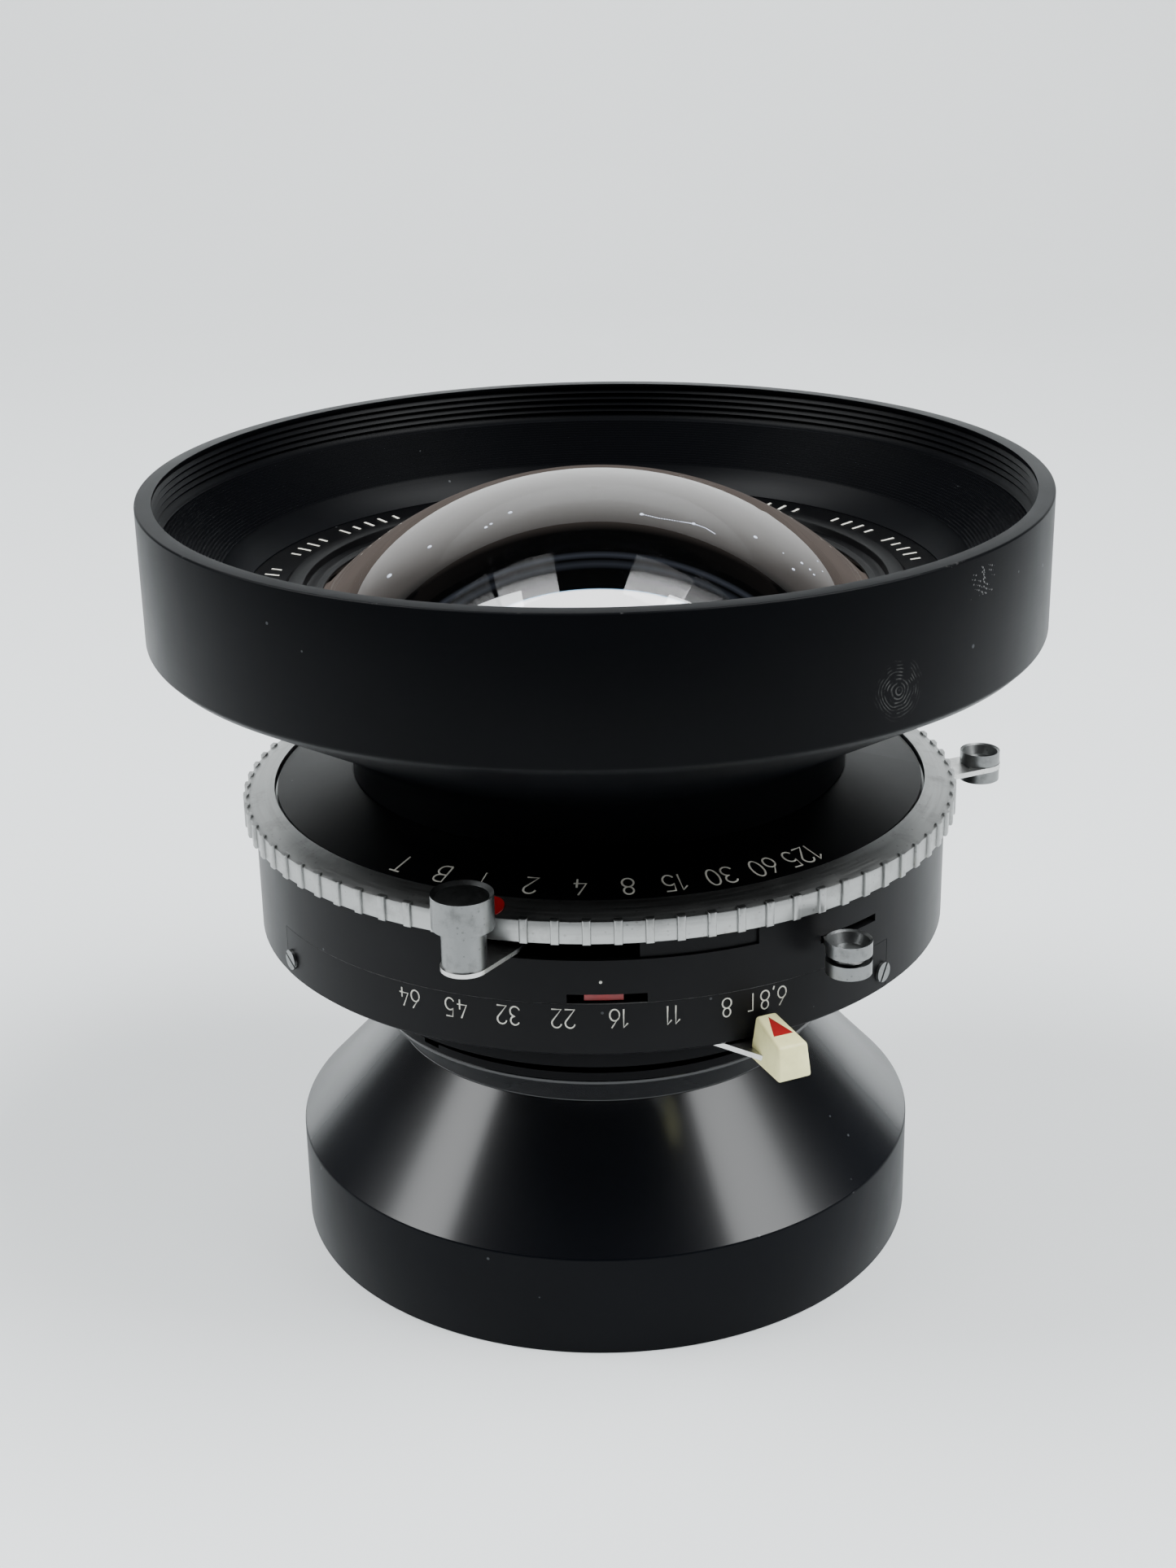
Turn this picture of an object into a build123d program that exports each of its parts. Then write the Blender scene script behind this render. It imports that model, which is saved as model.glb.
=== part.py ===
from build123d import *
from math import asin, cos, degrees, radians, sin, sqrt
import os

# Large-format lens in a size 3 leaf shutter, millimetres.
# +Z is the optical axis, from the rear rim (z = 0) to the front rim.
# Azimuths are counted from +X towards +Y; the scales face -Y.

# ---- driving dimensions -------------------------------------------------
gap = 0.03                    # assembly clearance between fixed turned pieces
run = 0.05                    # radial running clearance

frontRadius = 64.4            # front barrel, outside
frontTop = 114.9              # front rim, also the overall height
frontSkirt = 95.2             # lower edge of the front cylinder
filterBore = 62.0             # wall that carries the filter thread
filterBottom = 109.0
stepRadius = 53.2             # edge between the ridged cone and the inner cone
stepHeight = 103.4
ringSeat = 50.2               # bore for the name ring
ringTop = 100.2
neckRadius = 38.0
neckTop = 80.0
frontFlange = 72.95           # where the front cell seats on the shutter

domeRadius = 55.1             # outer surface of the front glass
domeCentre = 59.8
frontGlass = 43.8             # edge radius of the front glass

cellThread = 29.0             # thread between each cell and the shutter
innerGlass = 26.0

bodyRadius = 51.0             # shutter housing, outside
bodyBore = 49.5
bodyBottom = 49.5
bodyTop = 66.0
floorTop = 50.9
wallPocket = 50.6             # the wall is thinned inside for the flag and the light shield
apertureRadius = 22.5         # clear opening of the shutter

seatRadius = 38.0             # rear flange that bears on the lens board
seatHeight = 40.8
boardThread = 31.0            # M62 thread through the lens board
boardRingRadius = 35.0
boardRingTop = 38.3
boardRingBottom = 37.06

rearRadius = 46.9             # rear barrel, outside
rearCylinder = 15.3
waistRadius = 31.5
waistHeight = 32.0
collarRadius = 34.9
collarTop = 37.0
rearGlass = 36.0

speedOuter = 52.2             # knurled speed ring
speedBore = 47.1
speedBottom = 66.3
speedRibs = 80
ribProud = 0.4
ribStart = -107.7             # azimuth between the two ribs that are left out
indexAngle = -106.5
indexReach, indexRadius = 50.15, 1.85

leverRadius = 56.8            # knob centres of the cocking and release levers
cockingAngle = -107.9
releaseAngle = -54.9
releasePivot = (40.0, -62.0)  # radius, azimuth
previewAngle = 19.1
previewRadius = 63.5
previewTravel = 20.0
previewRoot = (45.0, 16.1)    # post on the drive ring: radius, azimuth
hubRadius = 1.2               # between the two discs of a knob

tabAngle = -65.3
apertureTravel = -55.0

shutterBlades = 5
shutterPivot = 43.0
shutterOffset = 25.0          # how far a blade's hollow edge moves across the opening
shutterStud = (5.5, 40.0)     # length and angle from the pivot to the stud
irisBlades = 7
irisPivot = 39.0
irisOffset = 20.4
irisStud = (8.0, 60.0)
bladeEdge = 22.8              # radius of the hollow edge of every blade

gearModule = 0.5
ringTeeth = 154
pinionTeeth = 14
gearAngle = 150.0
gearRadius = gearModule * (ringTeeth + pinionTeeth) / 2

screwHeight = 52.6
screwAngles = (-148.7, -40.7)
screwSlots = (-25.0, 60.0)    # how far each slot has come round
pinAngles = (60.0, 240.0)     # pins that join the aperture ring to the iris ring
pinRadius = 46.3
cableAngle, cableHeight = 72.0, 62.6
syncAngle, syncHeight = 108.0, 58.0

# ---- heights inside the shutter ----------------------------------------
irisRingZ = (51.1, 52.0)
irisLevel = 52.4
irisPitch = 0.3
bladePlateZ = (54.9, 56.0)
shutterLevel = 56.25
shutterPitch = 0.38
bladeThick = 0.16
slotHalf = 0.8                # half width of the stud slots
driveRingZ = (58.45, 59.3)
mainPlateZ = (59.6, 60.6)
releaseZ = (61.15, 61.95)
previewZ = (61.7, 62.5)
cockingZ = (64.25, 64.85)
apertureZ = (48.55, 49.3)
coverZ = (65.4, 66.1)
camZ = (68.2, 69.2)


def polar(radius, angle):
    return (radius * cos(radians(angle)), radius * sin(radians(angle)))


def post(radius, low, high, place=(0, 0)):
    pin = Cylinder(radius, high - low, align=(Align.CENTER, Align.CENTER, Align.MIN))
    return Pos(place[0], place[1], low) * pin


def tube(outer, inner, low, high):
    return post(outer, low, high) - post(inner, low - 1, high + 1)


def raised(plan, low, high):
    """Plan view pulled up between two heights."""
    return Pos(0, 0, low) * extrude(plan, high - low, dir=(0, 0, 1))


def turned(*outline):
    """Spin an outline of (radius, z) points; a pair of points is the middle and end of an arc."""
    edges = []
    here = outline[0]
    for item in outline[1:] + (outline[0],):
        if isinstance(item[0], tuple):
            middle, end = item
            edges.append(ThreePointArc((here[0], 0, here[1]), (middle[0], 0, middle[1]), (end[0], 0, end[1])))
            here = end
        else:
            edges.append(Line((here[0], 0, here[1]), (item[0], 0, item[1])))
            here = item
    return revolve(make_face(Wire(edges)), Axis.Z, 360)


def capArc(radius, centre, side, start, end):
    """Middle and end of an arc on a sphere about the axis; side is +1 above the centre, -1 below."""
    reaches = ((start + end) / 2, end)
    return tuple((r, centre + side * sqrt(radius ** 2 - r ** 2)) for r in reaches)


def sector(inner, outer, start, end, low, high):
    """Piece of a flat ring between two azimuths."""
    halfway = (start + end) / 2
    edges = [
        ThreePointArc(polar(outer, start), polar(outer, halfway), polar(outer, end)),
        Line(polar(outer, end), polar(inner, end)),
        ThreePointArc(polar(inner, end), polar(inner, halfway), polar(inner, start)),
        Line(polar(inner, start), polar(outer, start)),
    ]
    return raised(make_face(Wire(edges)), low, high)


def arcSlot(radius, half, start, end, low, high):
    """Slot with round ends along a circle about the axis."""
    slot = sector(radius - half, radius + half, start, end, low, high)
    return slot + post(half, low, high, polar(radius, start)) + post(half, low, high, polar(radius, end))


def link(first, firstRadius, second, secondRadius):
    """Plan of two discs and the straight sides that touch both."""
    discs = Pos(*first) * Circle(firstRadius) + Pos(*second) * Circle(secondRadius)
    return make_hull(discs.edges())


def outward(shape, angle, height):
    """Stand a piece turned about Z on the housing wall, pointing away from the axis."""
    return Rot(0, 0, angle) * Pos(0, 0, height) * Rot(0, 90, 0) * shape


# ---- front cell ---------------------------------------------------------
def frontBarrel():
    return turned(
        (filterBore, frontTop), (frontRadius - 0.4, frontTop), (frontRadius, frontTop - 0.4),
        (frontRadius, frontSkirt), (frontRadius - 1.0, frontSkirt - 1.0), (neckRadius + 1.5, neckTop + 0.8),
        (neckRadius, neckTop - 0.6), (36.3, 76.0), (36.3, frontFlange), (cellThread, frontFlange),
        (cellThread, 62.3), (innerGlass + gap, 62.3), (innerGlass + gap, 79.0), (24.0, 79.0), (24.0, 82.0),
        (34.0, 90.0), (frontGlass + gap, 90.0), (frontGlass + gap, 96.0), (ringSeat + gap, 96.0),
        (ringSeat + gap, ringTop), (stepRadius, stepHeight), (filterBore - 0.4, filterBottom),
        (filterBore, filterBottom),
    )


def frontGlassDome():
    """Outer meniscus of the front cell."""
    low, rim = 90.03, 41.0
    hollow, hollowRadius = 30.0, 34.0
    hollowCentre = low - sqrt(hollowRadius ** 2 - hollow ** 2)
    return turned(
        (0, hollowCentre + hollowRadius), capArc(hollowRadius, hollowCentre, 1, 0, hollow),
        (frontGlass, low), (frontGlass, 95.0), (rim, domeCentre + sqrt(domeRadius ** 2 - rim ** 2)),
        capArc(domeRadius, domeCentre, 1, rim, 0),
    )


def nameRing():
    return turned(
        (39.3, 98.9), (39.3, 99.3), (41.8, 99.4), (42.0, 100.4), (44.2, 100.6), (45.0, 99.6),
        (ringSeat, ringTop - 0.1), (ringSeat, 96.05), (43.7, 96.05), (43.7, 95.6),
    )


def innerGroup(face, back, side):
    """Cemented inner group between two flat edges: a bulge on the outer face, a hollow behind."""
    reach, bulge = 24.0, 3.0
    ball = (reach ** 2 + bulge ** 2) / (2 * bulge)
    dip = 22.0
    dipBall = (dip ** 2 + 1.5 ** 2) / (2 * 1.5)
    return turned(
        (0, back + side * 1.5), capArc(dipBall, back + side * (1.5 - dipBall), side, 0, dip),
        (innerGlass, back), (innerGlass, face), (reach, face),
        capArc(ball, face + side * (bulge - ball), side, reach, 0),
    )


def innerRing(low, high, slotLevel):
    """Threaded ring that holds an inner group from the shutter side, with two spanner slots."""
    ring = tube(innerGlass, 23.0, low, high)
    for angle in (0, 180):
        ring -= Pos(*polar(24.6, angle), slotLevel) * Rot(0, 0, angle) * Box(4, 1.2, 2.0)
    return ring


# ---- rear cell ----------------------------------------------------------
def rearBarrel():
    mouth = rearRadius - 2.4
    return turned(
        (mouth, 0), (rearRadius - 0.3, 0), (rearRadius, 0.3), (rearRadius, rearCylinder),
        (waistRadius, waistHeight), (collarRadius, collarTop - 0.3), (collarRadius, collarTop),
        (cellThread, collarTop), (cellThread, 46.5), (innerGlass + gap, 46.5), (innerGlass + gap, 32.0),
        (24.0, 32.0), (24.0, 29.5), (33.0, 21.1), (rearGlass + gap, 21.1), (rearGlass + gap, 17.5),
        (41.0, 17.5), (41.0, 9.0), (mouth, 5.0),
    )


def rearGlassDome():
    """Outer meniscus of the rear cell."""
    ball, apex, top = 52.0, 3.6, 21.05
    hollow, hollowRadius = 24.0, 27.5
    hollowCentre = top + sqrt(hollowRadius ** 2 - hollow ** 2)
    return turned(
        (0, apex), capArc(ball, apex + ball, -1, 0, rearGlass), (rearGlass, top), (hollow, top),
        capArc(hollowRadius, hollowCentre, -1, hollow, 0),
    )


def rearRetainingRing():
    return turned((38.6, 12.0), (40.97, 12.0), (40.97, 17.45), (35.6, 17.45), (35.4, 17.1))


# ---- shutter: fixed pieces ----------------------------------------------
def rearFlange():
    """Turned flange: the seat on the lens board, and the tube with both threads."""
    bore = cellThread + gap
    return turned(
        (boardThread, boardRingBottom), (boardThread, seatHeight), (seatRadius, seatHeight),
        (seatRadius, bodyBottom - gap), (bore, bodyBottom - gap), (bore, boardRingBottom),
    )


def lensBoardRing():
    ring = tube(boardRingRadius, boardThread + gap, boardRingBottom, boardRingTop)
    for angle in (45, 225):
        ring -= Pos(*polar(boardRingRadius, angle), boardRingTop) * Rot(0, 0, angle) * Box(2.4, 3.0, 1.2)
    return ring


def shutterHousing():
    bore = cellThread + gap
    body = turned(
        (bore, bodyBottom), (bodyRadius - 0.5, bodyBottom), (bodyRadius, bodyBottom + 0.5),
        (bodyRadius, bodyTop), (wallPocket, bodyTop), (wallPocket, 63.3), (bodyBore, 63.3),
        (bodyBore, 59.4), (wallPocket - 0.2, 59.4), (wallPocket - 0.2, 57.4), (bodyBore, 57.4),
        (bodyBore, floorTop), (36.45, floorTop), (36.45, 52.2), (33.0, 52.2), (33.0, floorTop),
        (bore, floorTop),
    )
    inside, outside = bodyBore - 1, bodyRadius + 1
    body -= sector(bodyRadius - 0.7, outside, -150.6, -39.4, 49.9, 57.2)                 # scale recess
    body -= sector(inside, outside, -95.15, -83.2, 57.2, 58.6)                           # flag window
    body -= sector(inside, outside, -112.0, -65.9, 63.5, bodyTop + 1)                    # cocking slot
    body -= sector(inside, outside, -54.8, -42.8, 61.0, 62.1)                            # release slot
    body -= sector(inside, outside, 12.5, 42.5, previewZ[0] - 0.2, previewZ[1] + 0.2)    # preview slot
    for angle in pinAngles:
        body -= arcSlot(pinRadius, 1.1, angle + apertureTravel, angle, bodyBottom - 1, floorTop + 1)
    for angle in screwAngles:
        body -= outward(post(0.72, inside, outside), angle, screwHeight)
    body -= outward(post(1.6, inside, outside), cableAngle, cableHeight)
    body -= outward(post(2.3, inside, outside), syncAngle, syncHeight)
    return body


def apertureScale():
    strip = sector(bodyRadius - 0.7 + gap, bodyRadius, -150.5, -39.5, 49.95, 57.15)
    for angle in screwAngles:
        strip -= outward(post(0.75, bodyBore, bodyRadius + 1), angle, screwHeight)
    return strip


def scaleScrews():
    """Two slotted screws that hold the scale."""
    top = bodyRadius + 0.45
    screw = post(1.45, bodyRadius + gap, top) + post(0.7, bodyBore - 0.4, bodyRadius + 0.2)
    screw -= Pos(0, 0, top) * Box(0.4, 4, 0.5)
    return [outward(Rot(0, 0, slot) * screw, angle, screwHeight)
            for angle, slot in zip(screwAngles, screwSlots)]


def bladePlate():
    """Fixed plate between the iris and the shutter blades, with the pivots of both."""
    plate = tube(bodyBore - gap, apertureRadius, *bladePlateZ)
    for k in range(irisBlades):
        plate += post(0.8, irisLevel - 0.1, bladePlateZ[0], polar(irisPivot, k * 360 / irisBlades))
    for k in range(shutterBlades):
        plate += post(0.8, bladePlateZ[1], 58.3, polar(shutterPivot, k * 360 / shutterBlades))
    return plate


def mainPlate():
    """Fixed plate that carries the levers, the drive ring's bearing and the gear post."""
    plate = tube(bodyBore - gap, apertureRadius, *mainPlateZ)
    plate += tube(39.9, 38.6, driveRingZ[0] - 0.1, mainPlateZ[0])
    plate += tube(32.9, 29.6, mainPlateZ[1], 61.6)
    plate += post(0.9, mainPlateZ[1], 63.9, polar(*releasePivot))
    plate += post(0.7, mainPlateZ[1], 65.2, polar(gearRadius, gearAngle))
    return plate - arcSlot(previewRoot[0], 1.6, previewRoot[1], previewRoot[1] + previewTravel, 58, 62)


def frontPlate():
    """Front cover of the shutter, with the thread tube and the bearings of both front rings."""
    bore = cellThread + gap
    return turned(
        (bore, 61.75), (32.0, 61.75), (32.0, 63.9), (33.0, 63.9), (33.0, coverZ[0]),
        (49.9, coverZ[0]), (49.9, bodyTop), (speedBore - run, bodyTop),
        (speedBore - run, camZ[0] - 0.2), (45.0, camZ[0] - 0.2), (45.0, coverZ[1]), (32.0, coverZ[1]),
        (32.0, frontFlange - gap), (bore, frontFlange - gap),
    )


def speedPlate():
    """Shallow cone that carries the speeds."""
    bore = 32.0 + gap
    return turned((bore, 72.2), (36.5, 72.2), (47.5, 69.85), (47.5, 70.5), (36.5, 72.9), (bore, 72.9))


# ---- speed ring ---------------------------------------------------------
def speedRing():
    ring = turned(
        (speedBore, speedBottom), (speedOuter - 0.2, speedBottom), (speedOuter, speedBottom + 0.2),
        (speedOuter, 69.6), (47.9, 70.8), (47.9, 69.6), (speedBore, 69.6),
    )
    rib = Pos(speedOuter + ribProud / 2 - 0.2, 0, 68.2) * Box(ribProud + 0.4, 1.2, 3.6)
    step = 360 / speedRibs
    ribs = [Rot(0, 0, ribStart + (k + 0.5) * step) * rib for k in range(1, speedRibs - 1)]
    return ring + ribs - post(indexRadius + gap, 68.5, 72.0, polar(indexReach, indexAngle))


def speedIndex():
    """Coloured dot let into the top of the ring, cut to the ring's slope."""
    top = turned((45.0, 60), (55.0, 60), (55.0, 68.82), (45.0, 71.61))
    return post(indexRadius, 68.53, 72.0, polar(indexReach, indexAngle)) & top


def speedCam():
    """Cam plate fixed inside the speed ring, with one step for each speed."""
    cam = tube(speedBore - 0.02, 38.0, *camZ)
    for k in range(10):
        start = 20 + 8.2 * k
        cam -= sector(37.0, 39.0 + 0.5 * k, start, start + 8.21, camZ[0] - 1, camZ[1] + 1)
    return cam


# ---- cocking lever ------------------------------------------------------
def tooth(pitch, angle, level):
    """Straight-sided gear tooth with backlash."""
    foot, tip = pitch - 0.9 * gearModule, pitch + 0.6 * gearModule
    outline = Polyline((foot - 0.3, -0.4), (foot, -0.4), (tip, -0.14), (tip, 0.14), (foot, 0.4),
                       (foot - 0.3, 0.4), close=True)
    return Rot(0, 0, angle) * raised(make_face(outline), *level)


def cockingRing():
    """Ring that the cocking lever turns, with the toothed stretch that drives the retard gear."""
    pitch = gearModule * ringTeeth / 2
    teeth = [tooth(pitch, gearAngle + k * 360 / ringTeeth, cockingZ) for k in range(-22, 10)]
    return tube(38.0, 33.0 + run, *cockingZ) + teeth


def cockingLever():
    """Arm from the ring out through the slot to the round pad under the knob."""
    knee = polar(50.0, cockingAngle + 2.5)
    arm = raised(link(polar(37.0, cockingAngle + 5.0), 3.2, knee, 3.0), *cockingZ)
    pad = raised(link(knee, 3.0, polar(leverRadius, cockingAngle), 3.2), *cockingZ)
    return arm + pad - post(38.01, 60, 70)


def cockingKnob():
    low = cockingZ[1]
    knob = turned((0, low), (2.95, low), (2.95, 70.3), (4.1, 70.3), (4.1, 74.3), (3.5, 74.85), (0, 74.85))
    return Pos(*polar(leverRadius, cockingAngle), 0) * knob


def lightShield():
    """Strip behind the cocking slot that moves with the lever, on two feet."""
    strip = sector(50.0, wallPocket - run, -84.2, -50.0, 63.55, 65.95)
    for angle in (-80.0, -54.0):
        strip += sector(38.02, 50.1, angle - 2, angle + 2, *cockingZ)
    return strip


def mainSpring():
    """Flat open spring round the front tube, under the cocking ring, with both ends bent outwards."""
    level = (62.2, 63.6)
    return sector(33.6, 34.3, -150, 190, *level) + [
        sector(34.2, 36.6, angle, angle + 1.2, *level) for angle in (-150, 188.8)]


# ---- release and preview levers -----------------------------------------
def releaseLever():
    pivot = polar(*releasePivot)
    elbow = polar(50.0, -51.9)
    knob = polar(leverRadius, releaseAngle)
    lever = raised(link(pivot, 2.4, elbow, 1.5), *releaseZ) + raised(link(elbow, 1.5, knob, 2.2), *releaseZ)
    return lever - post(0.9 + run, 50, 70, pivot) - post(hubRadius + gap, 50, 70, knob)


def releaseSpring():
    """Small torsion spring on the release lever's post."""
    place = Pos(*polar(*releasePivot), 0)
    coils = [place * Pos(0, 0, 62.2 + 0.42 * k) * Torus(1.6, 0.2) for k in range(4)]
    leg = place * Rot(0, 0, 20) * Pos(1.6, 0, 62.85) * Box(0.3, 0.3, 1.5)
    return leg + coils


def discKnob(place, level):
    """Two knurled discs on a hub that takes the lever between them, hollow on top."""
    low, high = level[0] - gap, level[1] + gap
    knob = turned(
        (0, low - 1.9), (2.9, low - 1.9), (3.1, low - 1.7), (3.1, low), (hubRadius, low), (hubRadius, high),
        (3.1, high), (3.1, high + 1.6), (2.8, high + 1.95), (2.05, high + 1.95), (2.05, high + 0.5),
        (0, high + 0.5),
    )
    return Pos(*place, 0) * knob


def previewLever():
    """Arm from a post on the drive ring out through its slot to the knob."""
    root, knob = polar(*previewRoot), polar(previewRadius, previewAngle)
    knee = polar(53.0, previewAngle - 1.2)
    lever = raised(link(root, 2.6, knee, 3.2), *previewZ) + raised(link(knee, 3.2, knob, 3.2), *previewZ)
    lever -= post(hubRadius + gap, 50, 70, knob)
    return lever + post(1.4, driveRingZ[1] + 0.01, previewZ[0], root)


# ---- blades -------------------------------------------------------------
def bladeTurn(pivotRadius, offset):
    """Angle through which a blade carries its hollow edge by offset across the opening."""
    return 2 * degrees(asin(offset / (2 * pivotRadius)))


def studPlace(pivotRadius, stud, bladeAngle=0.0, ringAngle=0.0):
    """Where a blade's stud lies, seen from a ring that has turned by ringAngle."""
    x, y = polar(stud[0], stud[1] + bladeAngle)
    x += pivotRadius
    back = radians(-ringAngle)
    return (x * cos(back) - y * sin(back), x * sin(back) + y * cos(back))


def ringSlot(pivotRadius, stud, bladeAngle, ringAngle, low, high):
    """Curved slot that a stud follows, a little longer than its travel."""
    path = [studPlace(pivotRadius, stud, share * bladeAngle, share * ringAngle) for share in (-0.03, 0.5, 1.03)]
    return raised(SlotArc(ThreePointArc(*path), 2 * slotHalf), low, high)


def blade(plan, pivotRadius, stud, level, studEnd, angle):
    """One blade cut from its plan, with a pivot hole, an ear and the stud for the drive ring."""
    place = studPlace(pivotRadius, stud)
    plan = plan + link((pivotRadius, 0), 2.4, place, 1.4) - Circle(bladeEdge) - Pos(pivotRadius, 0) * Circle(
        0.8 + run)
    pin = post(0.6, min(level, studEnd), max(level + bladeThick, studEnd), place)
    return Rot(0, 0, angle) * (raised(plan, level, level + bladeThick) + pin)


def shutterBlade(k):
    """Wide crescent, drawn open; it swings its outer disc over the opening to close."""
    away = 90 - bladeTurn(shutterPivot, shutterOffset) / 2
    plan = (Pos(*polar(shutterOffset, away)) * Circle(23.6)) & Circle(40.0)
    plan += link((shutterPivot, 0), 2.6, polar(32.0, 27.0), 5.5)
    level = shutterLevel + shutterPitch * k
    return blade(plan, shutterPivot, shutterStud, level, driveRingZ[1] - 0.1, k * 360 / shutterBlades)


def irisBlade(k):
    """Narrow crescent, drawn fully open; it swings inwards to stop the lens down."""
    reach = 60.0
    fan = Polygon((0, 0), (reach, 0), polar(reach, 45), polar(reach, 90), polar(reach, 135), align=None)
    plan = Circle(35.5) & fan
    plan += link((irisPivot, 0), 2.4, polar(31.0, 6.0), 4.2)
    level = irisLevel + irisPitch * k
    return blade(plan, irisPivot, irisStud, level, irisRingZ[0] + 0.1, k * 360 / irisBlades)


def shutterDriveRing():
    ring = tube(48.9, 39.9 + run, *driveRingZ)
    swing = bladeTurn(shutterPivot, shutterOffset)
    slot = ringSlot(shutterPivot, shutterStud, swing, previewTravel, 58, 60)
    for k in range(shutterBlades):
        ring -= Rot(0, 0, k * 360 / shutterBlades) * slot
    return ring


def openFlag():
    """Coloured flag on the drive ring that shows in its window while the blades are held open."""
    strip = sector(49.9, wallPocket - 0.25, -92.6, -86.7, 57.45, driveRingZ[1])
    return strip + sector(48.92, 49.95, -91.0, -88.0, driveRingZ[0] + 0.1, driveRingZ[1])


# ---- aperture -----------------------------------------------------------
def irisDriveRing():
    ring = tube(48.6, 36.45 + run, *irisRingZ)
    swing = bladeTurn(irisPivot, irisOffset)
    slot = ringSlot(irisPivot, irisStud, swing, apertureTravel, 50, 53)
    for k in range(irisBlades):
        ring -= Rot(0, 0, k * 360 / irisBlades) * slot
    for angle in pinAngles:
        ring -= post(0.83, 50, 53, polar(pinRadius, angle))
    return ring


def apertureArm(grow):
    return link(polar(43.6, tabAngle - 5.5), 4.0 + grow, polar(56.0, tabAngle), 1.6 + grow)


def apertureRing():
    """Ring that turns on the rear flange, with the arm out to the tab and pins up to the iris."""
    ring = tube(47.8, seatRadius + run, *apertureZ)
    ring += raised(apertureArm(0), *apertureZ) - post(seatRadius + run, 40, 60)
    for angle in pinAngles:
        ring += post(0.8, apertureZ[1], irisRingZ[1] - 0.1, polar(pinRadius, angle))
    return ring


def apertureTab():
    """Moulded key on the arm, narrow towards the scale, its top sloping down outwards."""
    foot = Polyline((51.9, -2.3), (60.2, -2.4), (60.2, 2.4), (51.9, 2.3), close=True)
    crown = Polyline((51.9, -0.95), (59.4, -1.9), (59.4, 1.9), (51.9, 0.95), close=True)
    key = loft([Pos(0, 0, 47.6) * make_face(foot), Pos(0, 0, 53.9) * make_face(crown)])
    key -= Pos(56, 0, 54.7) * Rot(0, 10, 0) * Box(14, 8, 3.4)
    return Rot(0, 0, tabAngle) * key - raised(apertureArm(gap), apertureZ[0] - gap, apertureZ[1] + gap)


# ---- retard gear --------------------------------------------------------
def retardGear():
    """Pinion and arbor that the cocking ring drives."""
    pitch = gearModule * pinionTeeth / 2
    teeth = [tooth(pitch, k * 360 / pinionTeeth, cockingZ) for k in range(pinionTeeth)]
    gear = post(pitch - 0.9 * gearModule, *cockingZ) + teeth + post(1.6, 61.0, cockingZ[0])
    gear = Rot(0, 0, gearAngle + 180 + 180 / pinionTeeth) * (gear - post(0.7 + run, 60, 66))
    return Pos(*polar(gearRadius, gearAngle), 0) * gear


def starWheel():
    """Escape wheel on the same arbor."""
    points = [Rot(0, 0, 24 * k) * Polygon((3.2, -0.5), (5.0, 0.3), (3.2, 0.5), align=None) for k in range(15)]
    wheel = Circle(3.4) + points - Circle(1.6 + gap)
    return Pos(*polar(gearRadius, gearAngle), 0) * raised(wheel, 62.2, 63.0)


# ---- sockets on the back of the housing ---------------------------------
def cableSocket():
    wall = bodyRadius + gap
    socket = turned(
        (1.0 + run, bodyBore - 0.9), (1.57, bodyBore - 0.9), (1.57, wall), (3.1, wall), (3.1, 53.4), (2.6, 53.8),
        (2.6, 56.6), (1.75, 56.6), (1.75, 53.6), (1.0 + run, 53.6),
    )
    return outward(socket, cableAngle, cableHeight)


def cablePlunger():
    """Pin that a cable release pushes in to trip the shutter."""
    return outward(post(1.0, 47.4, 53.4), cableAngle, cableHeight)


def syncSocket():
    wall = bodyRadius + gap
    socket = turned(
        (1.3, bodyBore + 0.05), (2.27, bodyBore + 0.05), (2.27, wall), (2.9, wall), (2.9, 51.8), (1.85, 51.8),
        (1.85, 56.0), (1.3, 56.0),
    )
    return outward(socket, syncAngle, syncHeight)


def syncInsulator():
    return outward(tube(1.28, 0.52, bodyBore + 0.05, 53.0), syncAngle, syncHeight)


def syncPin():
    return outward(post(0.5, bodyBore + 0.05, 55.0), syncAngle, syncHeight)


nodes = {
    "front_barrel": frontBarrel(),
    "front_outer_lens": frontGlassDome(),
    "front_name_ring": nameRing(),
    "front_inner_lens": innerGroup(78.97, 64.6, 1),
    "front_inner_ring": innerRing(62.4, 64.55, 62.4),
    "rear_barrel": rearBarrel(),
    "rear_outer_lens": rearGlassDome(),
    "rear_retaining_ring": rearRetainingRing(),
    "rear_inner_lens": innerGroup(32.03, 44.2, -1),
    "rear_inner_ring": innerRing(44.25, 46.4, 46.4),
    "rear_flange": rearFlange(),
    "lens_board_ring": lensBoardRing(),
    "shutter_housing": shutterHousing(),
    "aperture_scale": apertureScale(),
    "scale_screws": scaleScrews(),
    "blade_plate": bladePlate(),
    "main_plate": mainPlate(),
    "front_plate": frontPlate(),
    "speed_plate": speedPlate(),
    "speed_ring": speedRing(),
    "speed_index": speedIndex(),
    "speed_cam": speedCam(),
    "cocking_ring": cockingRing(),
    "cocking_lever": cockingLever(),
    "cocking_knob": cockingKnob(),
    "light_shield": lightShield(),
    "main_spring": mainSpring(),
    "release_lever": releaseLever(),
    "release_knob": discKnob(polar(leverRadius, releaseAngle), releaseZ),
    "release_spring": releaseSpring(),
    "shutter_drive_ring": shutterDriveRing(),
    "open_flag": openFlag(),
    "preview_lever": previewLever(),
    "preview_knob": discKnob(polar(previewRadius, previewAngle), previewZ),
    "iris_drive_ring": irisDriveRing(),
    "aperture_ring": apertureRing(),
    "aperture_tab": apertureTab(),
    "retard_gear": retardGear(),
    "star_wheel": starWheel(),
    "cable_socket": cableSocket(),
    "cable_plunger": cablePlunger(),
    "sync_socket": syncSocket(),
    "sync_insulator": syncInsulator(),
    "sync_pin": syncPin(),
}
for k in range(shutterBlades):
    nodes[f"shutter_blade_{k + 1}"] = shutterBlade(k)
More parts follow.
